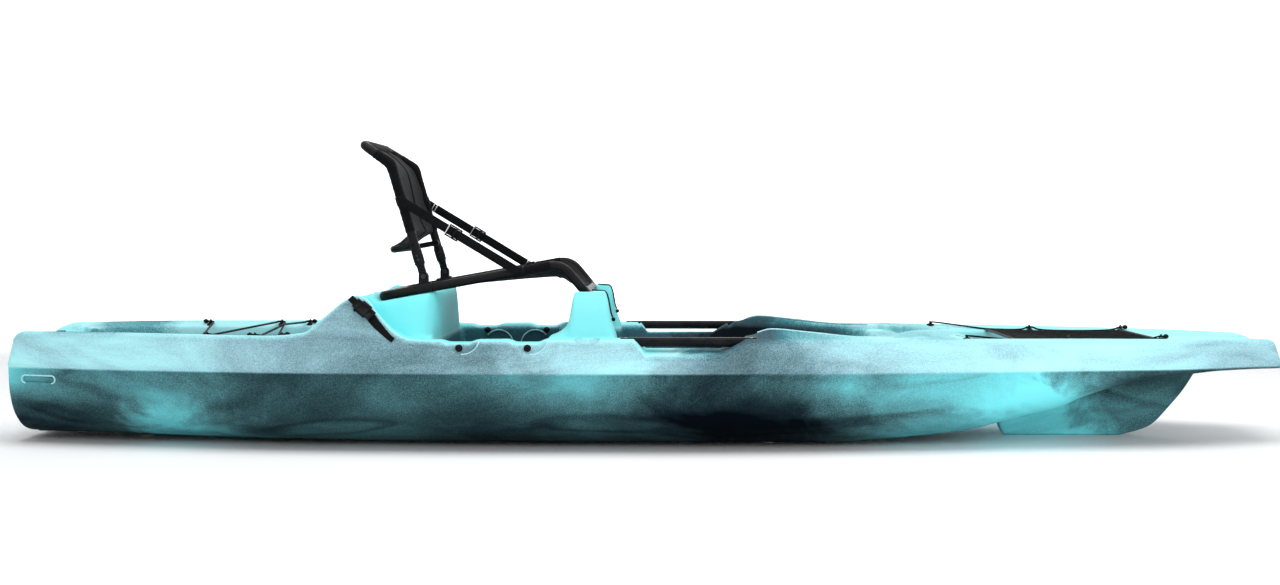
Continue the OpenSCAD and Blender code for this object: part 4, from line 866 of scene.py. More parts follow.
def joined(name, pieces):
    """Several pieces made one mesh."""
    materials = list(pieces[0].data.materials)
    work = bmesh.new()
    for piece in pieces:
        work.from_mesh(piece.data)
        bpy.data.objects.remove(piece)
    made = put_work(name, work)
    for material in materials:
        made.data.materials.append(material)
    made.data.shade_smooth()
    made.data.set_sharp_from_angle(angle=radians(40))
    return made


def plate(name, outline, base, top, round_over=1.2):
    """Flat plate over an outline with its upper edge rounded over."""
    rings = [[(x, y, base) for x, y in outline], [(x, y, top - round_over) for x, y in outline]]
    for share in (0.35, 1.0):
        inset = 1 - round_over * share / 10
        rings.append([(x * inset, y * inset, top - round_over * (1 - share)) for x, y in outline])
    return skin(name, rings)


EYE_R, EYE_WIRE, EYE_BASE, EYE_L, EYE_W, EYE_SCREW, EYE_OUT = 10.0, 2.1, 4.0, 44, 15, 16.5, 30
arch = [(0, EYE_R * cos(t), EYE_BASE - 1 + EYE_R * sin(t)) for t in np.linspace(0, pi, 19)]
eye_base = plate("base", [(y, x) for x, y in stadium(EYE_L, EYE_W)][::-1], 0.2, EYE_BASE)
pad_eye = joined("pad_eye", [eye_base, tube("wire", arch, [3.2, 2.5] + [EYE_WIRE] * 15 + [2.5, 3.2], 12)])
TANK_EYES = {1: (TANK_X1 - 367, TANK_X1 - 160, TANK_X1 - 76), -1: (TANK_X1 - 231, TANK_X1 - 95, TANK_X1 - 19)}
BOW_EYES = (BOW - 612, BOW - 352)


def eye_y(x):
    return float(wall_y(x)) + EYE_OUT


for name, eyes, node in (
    ("tankwell_eyes", TANK_EYES, "stern_pad_eyes"), ("bow_eyes", {1: BOW_EYES, -1: BOW_EYES}, "bow_pad_eyes")
):
    spots = [(x, s * eye_y(x)) for s in (1, -1) for x in eyes[s]]
    ups = [deck_facing(x, y) for x, y in spots]
    made = set_out(name, pad_eye, [(x, y, deck_z(x, y)) for x, y in spots], ups, black_plastic)
    fit(made, "hull", "black_plastic", node)
    sunk = EYE_BASE - 0.8
    screw_spots = [
        (x + EYE_BASE * n[0], y + dy + sunk * n[1], deck_z(x, y) + sunk * n[2] - dy * n[1])
        for (x, y), n in zip(spots, ups) for dy in (-EYE_SCREW, EYE_SCREW)
    ]
    screws = set_out(name + "_screws", screw, screw_spots, [n for n in ups for _ in (0, 1)], steel, size=0.55)
    fit(screws, "hull", "steel")

# Moulded edges. Raised beads round the side slots, under the scoops at the gunwale bolts, round the dishes in the
# cockpit's walls and along the coaming, in a pale tint that paints the highlights along those moulded edges.
edge_highlight, edge_shader, where = new_material("moulded_edge", (0.46, 0.80, 0.84), 0.4, specular=0.1)
edge_highlight_tint = ramp(grain(where, 70.0, 4.0, 0.65), [(0.3, (0.36, 0.70, 0.75)), (0.7, (0.55, 0.86, 0.89))])
shade(edge_shader, edge_highlight_tint, grain(where, 520.0, 3.0), 0.1, 0.0005)


OUTSIDE_Y, LEAST_Y = 700, 250


def on_wall(points, side, inside=False):
    """The points (x, z) laid on the hull's side, or on the cockpit's wall from inside."""
    laid = []
    for x, z in points:
        start = Vector((x, 0 if inside else side * OUTSIDE_Y, z)) * MM
        met, place, _, _ = shell.ray_cast(start, Vector((0, side if inside else -side, 0)))
        if met and place.y * side / MM > LEAST_Y:
            laid.append(tuple(c / MM for c in place))
    return laid


def arc_points(x, z, r, first, last, n=26):
    return [(x + r * cos(t), z + r * sin(t)) for t in np.radians(np.linspace(first, last, n))]


FOOT_RIB, RIM_IN = (318, 396), 5
rim_x = np.linspace(RAIL_HIGH[0] + 4, COAMING_X + 330, 40)
rim_z = np.interp(rim_x, stations, zi)
edges = []
for side in (1, -1):
    lines = [(on_wall([(SLOT_X + a, SLOT_Z + b) for a, b in stadium(SLOT_L + 3, SLOT_H + 3)], side), 2.2)]
    lines += [(on_wall(arc_points(x + SCOOP_AHEAD, SCOOP_Z, SCOOP_R, -95, -8), side), 1.8) for x in BOLT_X]
    for x, first, last in ((DISH_X[0], 140, -20), (DISH_X[1], 40, 200)):
        lines.append((on_wall(arc_points(x, DISH_Z, DISH_R, first, last), side, inside=True), 2.0))
    rib_y = np.linspace(*FOOT_RIB, 14)
    sunk = SCOOP_SPAN[2] * np.sqrt(np.maximum(0.0, 1 - ((rib_y - FOOT_SCOOP[1]) / SCOOP_SPAN[1]) ** 2))
    lines.append(([(FOOT_SCOOP[0], side * y, FOOT_SCOOP[2] - d) for y, d in zip(rib_y, sunk)], 3.0))
    lines.append(([(x, side * (float(inner_y(x)) + RIM_IN), z) for x, z in zip(rim_x, rim_z)], 2.6))
    edges += [tube("edge", line, r, 8, edge_highlight) for line, r in lines if len(line) > 5]
fit(joined("moulded_beads", edges), "hull", "hull_plastic", "hull_body")


# Tankwell bungee. Two lengths of 6 mm elastic cord with a braided jacket, laced from eye to eye
# across the well and stopped at each end by a round black cord knob.
def waves(where, way, scale, distortion=0.0):
    settings = dict(Scale=scale, Distortion=distortion)
    return add_node("ShaderNodeTexWave", {"bands_direction": way}, Vector=where, **settings).node.outputs["Fac"]


def toned_down(color, share):
    return tuple(share * c for c in color)


def braid(name, color, fleck, strands):
    """Braided jacket: two sets of strands crossing round the cord, on the cord's own UV map."""
    made, shader, uv = new_material(name, color, 0.72, specular=0.08, sheen=0.04, coords="UV")
    leaning = [add_node("ShaderNodeMapping", Vector=uv, Rotation=(0, 0, lean)) for lean in (0.9, -0.9)]
    height = calc("MAXIMUM", *(waves(turn, "X", strands) for turn in leaning))
    weave = times(height, spanned(grain(uv, 240.0), 0.35, 0.65))
    shade(shader, ramp(weave, [(0.0, toned_down(color, 0.4)), (0.6, color), (1.0, fleck)]), height, 0.5, 0.0006)
    return made


elastic = braid("elastic_braid", (0.005, 0.005, 0.006), (0.018, 0.018, 0.020), 260.0)
BUNGEE_D, TURN_R, CORD_SEAT, END_RUN, KNOB_D, CORD_GAP = 6.0, 12.0, 8.5, 6.3, 14.0, 0.3


def through_eye(x, side, along, back):
    """Point of a cord at the eye at x, so far along the boat from it and so far in from it."""
    y = side * (eye_y(x) - 2 - back)
    return (x + along, y, deck_z(x + along, y) + CORD_SEAT)


def round_eye(x, side, a0, a1):
    """The turn of a cord round the eye at x, between two angles in degrees."""
    steps = np.radians(np.linspace(a0, a1, 2 + int(abs(a1 - a0) / 10)))
    return [through_eye(x, side, TURN_R * sin(a), TURN_R * (1 - cos(a))) for a in steps]


def cord_path(points, step=14.0):
    """Points of a cord with the long straight runs divided up."""
    path = [np.array(points[0], float)]
    for p in points[1:]:
        gap = np.array(p, float) - path[-1]
        n = max(1, int(np.linalg.norm(gap) // step))
        path += [path[-1] + gap * k / n for k in range(1, n + 1)]
    return np.array(path)


def lay_cord(name, path, diameter, far_end, with_pieces, *stands_for, lay="taut"):
    rope = fit(tube(name, path, diameter / 2, 12, elastic), "hull", "elastic", *stands_for)


KNOB = [
    (0.1, -7), (2.6, -7), (3.4, -6.6), (5.2, -5.2), (6.6, -2.4), (7.0, 0.3), (6.5, 2.8), (5.0, 5.0), (3.9, 5.8),
    (3.8, 6.9), (3.2, 7), (3.1, 5.4), (0.1, 5.2),
]
cord_knob = turned("cord_knob", KNOB)


def end_knobs(name, ends, *stands_for):
    """Cord knobs at (x, side, way) ends of cords that stop just past an eye."""
    spots = [through_eye(x, side, way * END_RUN, 0) for x, side, way in ends]
    ways = np.array([(way, 0, 0) for _, _, way in ends])
    knobs = set_out(name, cord_knob, spots + ways * (KNOB_D / 2 + CORD_GAP), ways, gloss_plastic, (0, 1, 0))
    return fit(knobs, "hull", "black_plastic", *stands_for)


LEAVE, SHORT_LEAVE, SHORT_RISE = 80, 88, 9
port, starboard = TANK_EYES[1], TANK_EYES[-1]
lacing = [through_eye(port[0], 1, -END_RUN, 0), *round_eye(port[0], 1, 0, LEAVE)]
lacing += round_eye(starboard[0], -1, -LEAVE, LEAVE) + round_eye(port[1], 1, -LEAVE, LEAVE)
lacing += [*round_eye(starboard[2], -1, -LEAVE, 0), through_eye(starboard[2], -1, END_RUN, 0)]
middle = ((starboard[1] + port[2]) / 2, 0, through_eye(port[2], 1, 0, 0)[2] + SHORT_RISE)
short_run = [through_eye(starboard[1], -1, -END_RUN, 0), *round_eye(starboard[1], -1, 0, SHORT_LEAVE), middle]
short_run += [*round_eye(port[2], 1, -SHORT_LEAVE, 0), through_eye(port[2], 1, END_RUN, 0)]
for name, route, ends in (
    ("bungee_lacing", lacing, [(port[0], 1, -1), (starboard[2], -1, 1)]),
    ("bungee_short_run", short_run, [(starboard[1], -1, -1), (port[2], 1, 1)]),
):
    knobs = end_knobs(name + "_knobs", ends, "bungee_knobs")
    lay_cord(name, cord_path(route), BUNGEE_D, "knot", [knobs], "stern_bungee")


# Bow cover. A black net of elastic strands knotted in diamonds over the front of the bow well, hemmed
# with tape all round and drawn tight by a cord that runs through two eyes on each side.
def ribbed_webbing(name, color, pale, ribs):
    """Woven tape: ribs across it and a fine twill, on its own UV map, a little paler where it rubs."""
    made, shader, uv = new_material(name, color, 0.66, specular=0.08, sheen=0.04, coords="UV")
    height = calc("ADD", waves(uv, "Y", ribs), times(waves(uv, "X", 1.7 * ribs), 0.5))
    rubbed = times(height, spanned(grain(uv, 55.0, 4.0, 0.7), 0.35, 0.75))
    shade(shader, ramp(rubbed, [(0.0, toned_down(color, 0.5)), (0.5, color), (1.0, pale)]), height, 0.45, 0.0005)
    return made


webbing = ribbed_webbing("webbing", (0.004, 0.004, 0.005), (0.014, 0.014, 0.016), 190.0)


def band(name, path, across, width, thick):
    """Webbing along a path, its width along the given directions, with rounded edges."""
    path = np.asarray(path, float)
    ways = np.gradient(path, axis=0)
    ways /= np.linalg.norm(ways, axis=1)[:, None]
    across = np.broadcast_to(np.asarray(across, float), path.shape)
    t = thick / 2
    rows = []
    for p, way, side, w in zip(path, ways, across, np.broadcast_to(np.asarray(width, float) / 2, len(path))):
        outline = [(-w, 0), (-w + 0.3 * t, -0.8 * t), (-w + t, -t), (0, -t), (w - t, -t), (w - 0.3 * t, -0.8 * t)]
        outline += [(-a, -b) for a, b in outline]
        side = unit(side - way * (side @ way))
        up = np.cross(way, side)
        rows.append([p + a * side + b * up for a, b in outline])
    return skin(name, rows, webbing)


NET_X0, NET_X1, NET_CELLS, NET_CROSS, NET_STRAND = BOW - 747, BOW - 352, 56, 48, 1.7
NET_L, NET_SAG, NET_LIFT, SIDE_HEM, END_HEM, HEM_T = NET_X1 - NET_X0, 7.0, 2.7, 12, 14, 2.4
MESH_CORD_D, MESH_CORD_IN = 5.0, 16.0


def net_half(x):
    return float(wall_y(x)) + MESH_CORD_IN - MESH_CORD_D / 2 - CORD_GAP


def net_point(x, v):
    half = net_half(x)
    sag = NET_SAG * (1 - v * v) * sin(pi * (x - NET_X0) / NET_L)
    return np.array((x, v * half, deck_z(x, half) + NET_LIFT - sag))


knots = {}
for i in range(NET_CELLS + 1):
    for j in range(i % 2, NET_CROSS + 1, 2):
        knots[i, j] = len(knots)
ties = [(k, knots[i + 1, j + d]) for (i, j), k in knots.items() for d in (-1, 1) if (i + 1, j + d) in knots]
net_verts = [net_point(NET_X0 + NET_L * i / NET_CELLS, 2 * j / NET_CROSS - 1) * MM for i, j in knots]
net_tree, given = new_tree("net_strands", ("Strand", "Float"), ("Finish", "Material"))
lines = add_node("GeometryNodeMeshToCurve", Mesh=given["Geometry"])
ring = add_node("GeometryNodeCurvePrimitiveCircle", Resolution=4, Radius=given["Strand"])
end_tree(net_tree, add_node("GeometryNodeCurveToMesh", i0=lines, i1=ring), given["Finish"])
net_cord = black_moulding("net_strand", (0.004, 0.004, 0.005), 0.62, 1400.0, 0.0)
lattice = add_mesh("bow_net", net_verts, [], ties, smooth=False)
net = grown(lattice, net_tree, Strand=NET_STRAND / 2 * MM, Finish=net_cord)
edge_x, cross_v = np.linspace(NET_X0 + 3, NET_X1 - 3, 30), np.linspace(-0.98, 0.98, 30)
hems = []
for s in (1, -1):
    side_line = [net_point(x, s * (1 - SIDE_HEM / 2 / net_half(x))) for x in edge_x]
    hems.append(band("hem", side_line, (0, 1, 0), SIDE_HEM, HEM_T))
for x in (NET_X0 + END_HEM / 2, NET_X1 - END_HEM / 2):
    hems.append(band("hem", [net_point(x, v) for v in cross_v], (1, 0, 0), END_HEM, HEM_T))
net_hem = joined("bow_net_hem", hems)
fit(net, "hull", "black_fabric", "bow_mesh_cover")
fit(net_hem, "hull", "webbing", "bow_mesh_cover")
net_width = 2 * net_half((NET_X0 + NET_X1) / 2)
POST = [
    (0.1, 0.2), (11, 0.2), (11.2, 1.6), (10.2, 3.4), (7.4, 4.6), (4.6, 5.2), (4.2, 6.4), (4.3, 9.2), (5.6, 10.2),
    (5.7, 11.2), (4.4, 12), (0.1, 12.2),
]
cord_post = turned("cord_post", POST, 28)
ANCHOR_X, POST_LIFT, POST_NECK = BOW - 898, 0.8, 9.2
ANCHOR_Y = float(edge_y(ANCHOR_X)) - 38
ANCHOR_Z = deck_z(ANCHOR_X, ANCHOR_Y)
posts = set_out(
    "bow_cord_posts", cord_post, [(ANCHOR_X, s * ANCHOR_Y, ANCHOR_Z + POST_LIFT) for s in (1, -1)],
    [deck_facing(ANCHOR_X, s * ANCHOR_Y) for s in (1, -1)], black_plastic,
)
fit(posts, "hull", "black_plastic", "bow_cord_anchors")


def eased(points, rounds=3):
    """A path with its corners cut off, again and again."""
    path = np.asarray(points, float)
    for _ in range(rounds):
        a, b = path[:-1], path[1:]
        cut = np.stack([0.75 * a + 0.25 * b, 0.25 * a + 0.75 * b], axis=1).reshape(-1, 3)
        path = np.vstack([path[:1], cut[1:-1], path[-1:]])
    return path


def edge_point(x, side, out=0):
    y = side * (float(wall_y(x)) + MESH_CORD_IN + out)
    return (x, y, deck_z(x, y) + MESH_CORD_D / 2 + CORD_GAP)


first_eye, last_eye = BOW_EYES
for side, label in ((1, "port"), (-1, "starboard")):
    bow_knob = end_knobs("bow_cord_knob_" + label, [(last_eye, side, 1)], "bow_cord_knobs")
    start = ANCHOR_Z + POST_NECK
    route = [(ANCHOR_X + 4.8, side * ANCHOR_Y, start + 1), (ANCHOR_X + 24, side * ANCHOR_Y, start)]
    route += [edge_point(NET_X0 - 10, side, 6), edge_point(NET_X0 + 25, side), edge_point(first_eye - 26, side)]
    route += [through_eye(first_eye, side, a, b) for a, b in ((-9, 4), (0, 1), (9, 4))]
    route += [edge_point(x, side) for x in (first_eye + 26, sum(BOW_EYES) / 2, last_eye - 26)]
    route += [through_eye(last_eye, side, -9, 4), through_eye(last_eye, side, END_RUN, 0)]
    lay_cord("bow_cord_" + label, eased(route), MESH_CORD_D, "knot", [bow_knob], "bow_mesh_cord")


# Shoulder straps. A short length of webbing down the outer face of each shoulder ridge, with a plastic
# side-release buckle for lashing down the seat or a rod.
def blocks(name, parts):
    """Rounded blocks as one mesh, each a centre, a size and an edge radius in millimetres."""
    work = bmesh.new()
    for centre, size, edge in parts:
        made = bmesh.ops.create_cube(work, size=1.0)["verts"]
        bmesh.ops.scale(work, vec=size, verts=made)
        bmesh.ops.translate(work, vec=centre, verts=made)
        rims = list({e for v in made for e in v.link_edges})
        bmesh.ops.bevel(work, geom=rims, offset=edge, segments=3, profile=0.5, affect="EDGES")
    bmesh.ops.scale(work, vec=(MM, MM, MM), verts=work.verts)
    piece = put_work(name, work)
    piece.data.shade_smooth()
    piece.data.set_sharp_from_angle(angle=radians(50))
    return piece


# Stitches follow a line of edges: short rounded threads set along it at an even pitch.
stitch_tree, given = new_tree("stitch_row", ("Thread", "Object"), ("Pitch", "Float"), ("Finish", "Material"))
seam = add_node("GeometryNodeMeshToCurve", Mesh=given["Geometry"])
seam = add_node("GeometryNodeResampleCurve", {"mode": "LENGTH"}, Curve=seam, Length=given["Pitch"])
thread_shape = add_node("GeometryNodeObjectInfo", Object=given["Thread"]).node.outputs["Geometry"]
run_of_seam = add_node("GeometryNodeInputTangent", tree=stitch_tree)
stance = add_node("FunctionNodeAlignRotationToVector", {"axis": "Z"}, Vector=run_of_seam)
sewn = add_node("GeometryNodeInstanceOnPoints", Points=seam, Instance=thread_shape, Rotation=stance)
end_tree(stitch_tree, sewn, given["Finish"])
thread = turned("thread", [(0.05, -1.5), (0.36, -1.25), (0.46, -0.6), (0.46, 0.6), (0.36, 1.25), (0.05, 1.5)], 6)
thread_black = black_moulding("thread", (0.010, 0.010, 0.011), 0.6, 900.0, 0.05)
PITCH = 4.2


def stitches(name, seams):
    """Rows of stitches along seams, each a list of points in millimetres."""
    verts, edges = [], []
    for points in seams:
        first = len(verts)
        verts += [np.array(p) * MM for p in points]
        edges += [(k, k + 1) for k in range(first, len(verts) - 1)]
    seam_lines = add_mesh(name, verts, [], edges, smooth=False)
    return grown(seam_lines, stitch_tree, Thread=thread, Pitch=PITCH * MM, Finish=thread_black)


def even(path, step):
    """The same path with points an even step apart."""
    path = np.asarray(path, float)
    far = run_of(np.linalg.norm(np.diff(path, axis=0), axis=1))
    at = np.linspace(0, far[-1], max(2, int(round(far[-1] / step)) + 1))
    return np.stack([np.interp(at, far, path[:, k]) for k in range(3)], axis=1)


WEB_W, WEB_T, WEB_LIFT, SEWN_LIFT = 25.0, 2.0, 0.7, 0.2
clip_parts = [((0, 0, 4.6), (24, 25, 8.0), 2.6)]
clip_parts += [((-15, 0, 4.2), (16, 21, 6.4), 2.2), ((16, 0, 4.2), (18, 22, 6.4), 2.2)]
clip_parts += [((1, y, 4.6), (22, 3.6, 6.0), 1.4) for y in (12.4, -12.4)]
clip_parts += [((-19, 0, 7.4), (3, 19, 2.4), 1.0), ((21, 0, 7.4), (3, 20, 2.4), 1.0)]
clip_parts += [((x, 0, 8.4), (1.6, 18, 1.4), 0.6) for x in (-4, 0, 4)]
side_buckle = blocks("side_buckle", clip_parts)
TAPE_STEPS, TAPE_SHARES = (0, 15, 30, 46, 62, 85, 107), (1.2, 1.2, 1.2, 1.2, 1.05, 0.8, 0.65)
TAPE_DROP, TAPE_W, DECK_CORNER, BUCKLE_STEP, BUCKLE_LIFT, BUCKLE_SIZE = 12.5, 21, 14.0, 26.0, 1.4, 1.3
TAIL = ((-18, 4), (-28, 5), (-38, 7), (-47, 6))
tape_x = np.linspace(HUMP_X, HUMP_X + TAPE_STEPS[-1], 30)


def side_y(x, z):
    t = (z - CHINE_Z) / (sheer_z(x) - DECK_CORNER - CHINE_Z)
    return float(half_breadth(x) + (edge_y(x) - half_breadth(x)) * t)


def tape_share(x):
    return np.interp(x, [HUMP_X + d for d in TAPE_STEPS], TAPE_SHARES)


for side, label in ((1, "left"), (-1, "right")):
    tape_z = sheer_z(tape_x) - TAPE_DROP * tape_share(tape_x) - DECK_CORNER - 1
    line = [(x, side * (side_y(x, z) + WEB_LIFT + WEB_T / 2), z) for x, z in zip(tape_x, tape_z)]
    line = even(line, 4)
    along = unit(line[-1] - line[0])
    cross = unit((0.75, -0.33 * side, 1))
    tilt = unit(np.cross(cross, along)) * side
    widths = TAPE_W * tape_share(line[:, 0])
    spot = line[int(np.argmin(np.abs(line[:, 0] - HUMP_X - BUCKLE_STEP)))] + tilt * BUCKLE_LIFT
    tail = cord_path([spot + along * a + tilt * b for a, b in TAIL], 4.0)
    tapes = [band("webbing", line, cross, widths, WEB_T), band("webbing", tail, cross, 18, WEB_T + 3)]
    fit(joined("shoulder_webbing_" + label, tapes), "hull", "webbing", "shoulder_strap_" + label)
    face = tilt * (WEB_T / 2 + SEWN_LIFT)
    seams = [[p + cross * w * d + face for p, w in zip(line, widths)] for d in (-0.38, 0.38)]
    for end in (line[1], line[-2]):
        seams += [[end + cross * w + along * d + face for w in np.linspace(-6, 6, 6)] for d in (-2, 2)]
    fit(stitches("shoulder_stitches_" + label, seams), "hull", "webbing")
    buckle = set_out("shoulder_clip_" + label, side_buckle, [spot], tilt, gloss_plastic, along, BUCKLE_SIZE)
    fit(buckle, "hull", "black_plastic", "shoulder_buckle_" + label)

# Seat tethers. A thin black shock cord from the foot of the seat frame over the front of each
# pedestal, where it lies on the moulding, ending in a ribbed bead that clips the seat down.
TETHER_D, BEAD_D, TETHER_Y, TETHER_GAP = 4.0, 11.0, PEDESTAL_IN + 24, 0.4
BEAD = [
    (0.1, -5.4), (2.2, -5.4), (3.4, -4.6), (4.2, -3.4), (5.3, -2.6), (5.0, -1.6), (5.5, -0.6), (5.1, 0.4), (5.5, 1.4),
    (4.9, 2.6), (3.9, 4.2), (2.6, 5.4), (0.1, 5.5),
]
BEAD_X, BEAD_Z, TETHER_LIFT = FOOT_X + 74, GUNWALE_Z + 42, TETHER_D / 2 + TETHER_GAP
CORE_X, CORE_Z, CORE_REACH, OVER_FRONT = FOOT_X + 34, PEDESTAL_Z - 44, 120, (78, -26)
bead = turned("bead", BEAD, 20)
for side, label in ((1, "left"), (-1, "right")):
    core = Vector((CORE_X, side * TETHER_Y, CORE_Z))
    route = [(FOOT_X + 16, PEDESTAL_Z + TETHER_LIFT)]
    for a in np.radians(np.linspace(*OVER_FRONT, 14)):
        way = Vector((cos(a), 0, sin(a)))
        _, place, facing, _ = shell.ray_cast((core + way * CORE_REACH) * MM, -way)
        laid = place / MM + Vector((facing.x, 0, facing.z)).normalized() * TETHER_LIFT
        route.append((laid.x, laid.z))
    route.append((BEAD_X - 2, BEAD_Z + BEAD_D / 2 + CORD_GAP))
    bead_spot = [(BEAD_X, side * TETHER_Y, BEAD_Z)]
    end_bead = set_out("tether_bead_" + label, bead, bead_spot, (-0.2, 0, 1), gloss_plastic)
    fit(end_bead, "hull", "black_plastic", "tether_beads")
    path = cord_path([(x, side * TETHER_Y, z) for x, z in route], 6.0)
    node = "seat_tether_" + label
    lay_cord("seat_shock_cord_" + label, path, TETHER_D, "fitting", [end_bead], node, lay="hanging")


# Seat frame. One black powder-coated aluminium tube bent into a closed loop: it lies on the seat block
# behind, rises to a crest over the knees and drops to a foot in the pedestals' grooves.
def powder_coat(name, color, roughness):
    """Powder-coated tube: orange-peel bump, a soft gloss and paler rubbed patches."""
    made, shader, where = new_material(name, color, roughness, specular=0.16)
    rubbed = spanned(grain(where, 42.0, 5.0, 0.7, 0.5), 0.58, 0.78, smooth=True)
    pale = tuple(2.4 * c + 0.003 for c in color)
    dull = spanned(grain(where, 90.0, 3.0), 0.3, 0.7, roughness - 0.06, roughness + 0.10)
    shade(shader, ramp(rubbed, [(0.0, color), (1.0, pale)]), grain(where, 650.0), 0.16, 0.0004, dull)
    return made


black_tube = powder_coat("black_tube", (0.004, 0.004, 0.004), 0.44)
finish_nodes(black_tube, "seat_base_frame", "back_frame", "lumbar_bar")


# Seat sling. A sheet of black woven nylon hung between the tubes, sewn into a sleeve round each tube
# ahead of the straps and hemmed over a welt behind them. It hangs well below the crest in front.
def woven_cloth(name, color, pale, threads):
    """Plain weave of heavy nylon on the cloth's own UV map, with sheen and a rubbed, uneven tone."""
    made, shader, uv = new_material(name, color, 0.74, specular=0.06, sheen=0.05, coords="UV")
    height = times(waves(uv, "X", threads, 0.15), waves(uv, "Y", threads, 0.15))
    tone = times(spanned(grain(uv, 18.0, 5.0, 0.65), 0.3, 0.75), spanned(height, 0.0, 1.0, 0.55, 1.0))
    shade(shader, ramp(tone, [(0.0, toned_down(color, 0.6)), (0.45, color), (1.0, pale)]), height, 0.5, 0.0006)
    return made


seat_cloth = woven_cloth("seat_cloth", (0.004, 0.004, 0.005), (0.012, 0.012, 0.014), 290.0)
SEAT_Y, SLEEVE_R, WELT_R = 220.0, 13.7, 3.0
CLOTH_EDGE = SEAT_Y - 12.8
CREST, SEAT_FOOT = np.array((-236.0, 0, 492.0)), np.array((FOOT_X, 0, FOOT_Z))


def base_point(x):
    return np.array((x, 0, SEAT_REAR_Z + TUBE_SLOPE * (x - CROSSBAR_X)))


def bent(points, radii, n=10):
    """A path with each inner corner bent to its radius."""
    points = [np.asarray(p, float) for p in points]
    path = [points[0]]
    for before, p, after, r in zip(points, points[1:], points[2:], radii):
        a, b = unit(before - p), unit(after - p)
        corner = acos(a @ b)
        centre = p + unit(a + b) * r / sin(corner / 2)
        first, last = (p + way * r / np.tan(corner / 2) - centre for way in (a, b))
        turn = pi - corner
        for t in np.linspace(0, turn, n):
            path.append(centre + (sin(turn - t) * first + sin(t) * last) / sin(turn))
    return np.array(path + [points[-1]])


def thicken(piece, thick):
    solid = piece.modifiers.new("thickness", "SOLIDIFY")
    solid.thickness, solid.offset = thick * MM, 0
    return piece


def cloth_rows(line, halves, depths, across, power, folds):
    """Rows of points across a cloth, hollowed to a depth between its edges and rippled by folds(share, v)."""
    rows = []
    halves = np.broadcast_to(halves, len(line))
    for p, way, half_w, deep, q in zip(line, np.gradient(line, axis=0), halves, depths, np.linspace(0, 1, len(line))):
        out = unit((-way[2], 0, way[0]))
        hollow = [deep * (1 - abs(v) ** power) + folds(q, v) for v in across]
        rows.append([p + (0, v * half_w, 0) + out * h for v, h in zip(across, hollow)])
    return np.array(rows)


def wrinkled(n, r, ripple, beat, end=0.0):
    """Radii of a cloth sleeve's n rings: a ripple along it, and fuller rings at both ends."""
    k = np.arange(n)
    return r + ripple * np.sin(k * beat) + end * (k % (n - 1) == 0)


def sling_folds(q, v):
    return -4.4 * sin(9 * q * pi + 5 * v) * abs(v) ** 3 * (1 - abs(v))


SLING_T, SLING_BEND, LOOP_X, SLEEVE_X, SEAM_LIFT = 2.0, 55, -338, -268, (0, 0, 1.25)
sling_line = even(bent([base_point(-556), CREST, CREST + 0.84 * (SEAT_FOOT - CREST)], [SLING_BEND]), 8)
sling_share = np.linspace(0, 1, len(sling_line))
sling_sag = np.interp(sling_share, [0, 0.25, 0.5, 0.68, 0.8, 0.92, 1.0], [9, 17, 26, 34, 40, 26, 8])
sling_v = np.linspace(-1, 1, 45)
sling_rows = cloth_rows(sling_line, CLOTH_EDGE, -sling_sag, sling_v, 2.3, sling_folds)
sling = thicken(skin("sling_cloth", sling_rows, seat_cloth, closed=False), SLING_T)
loop_row, sleeve_end = (int(np.argmin(np.abs(sling_line[:, 0] - x))) for x in (LOOP_X, SLEEVE_X))
trims, seams = [], []
for side, edge, columns in ((1, -1, (-4, -11)), (-1, 0, (3, 10))):
    over = even(sling_line[loop_row : sleeve_end + 1] + (0, side * SEAT_Y, 0), 3)
    trims.append(tube("sleeve", over, wrinkled(len(over), SLEEVE_R, 0.35, 1.3, 0.8), 24, seat_cloth))
    welt = even(sling_rows[: loop_row - 4, edge] - (0, side * WELT_R / 2, 0), 8)
    trims.append(tube("welt", welt, WELT_R, 10, seat_cloth))
    seams += [sling_rows[:, k] + SEAM_LIFT for k in columns]
seams += [sling_rows[row, 2:-2] + SEAM_LIFT for row in (1, 3, -4, -2)]
trims += [tube("hem", even(sling_rows[row], 10), WELT_R, 10, seat_cloth) for row in (0, -1)]
sling_trim = joined("sling_sleeves_and_hems", trims)
sling_seams = stitches("sling_stitches", seams)
fit(sling, "seat", "black_fabric", "seat_sling")
fit(sling_trim, "seat", "black_fabric", "seat_sling")
fit(sling_seams, "seat", "black_fabric")


# Hinges. Black moulded clamps on the base tube carry the backrest on steel pins, and a collar
# stiffens the foot of each upright above its hinge.
def leaning(angle):
    return np.array((-sin(radians(angle)), 0, cos(radians(angle))))


PIVOT, BACK_WAY, HEAD_WAY, BACK_L, HEAD_L = np.array((SEAT_X, 0, 457.845)), leaning(16), leaning(56), 318.0, 94.0
BACK_TOP = PIVOT + BACK_L * BACK_WAY
HEAD_TOP = BACK_TOP + HEAD_L * HEAD_WAY
finish_nodes(black_plastic, "hinge_bracket_left", "hinge_bracket_right")
black_steel = drawn_metal("black_steel", (0.030, 0.030, 0.032), 0.30, 1.0, (1.0, 0.1, 1.0))
finish_nodes(black_steel, "hinge_pins")
finish_nodes(gloss_plastic, "lumbar_bolts")
COLLAR = [
    (12.6, 0), (13.8, 0.2), (14.6, 1.4), (14.8, 5), (14.3, 6), (14.3, 9), (14.8, 10), (14.8, 26), (14.4, 27),
    (14.4, 30), (14.7, 31), (14.6, 36), (14.0, 40), (13.2, 41), (12.6, 41),
]
COLLAR_UP, COLLAR_R, COLLAR_SCREWS = 34, 14.6, (47, 58)
collar = turned("collar", COLLAR, 28)
collar_at = [PIVOT + COLLAR_UP * BACK_WAY + (0, s * SEAT_Y, 0) for s in (1, -1)]
collars = set_out("upright_collars", collar, collar_at, BACK_WAY, black_plastic, (0, 1, 0))
fit(collars, "backrest", "black_plastic")
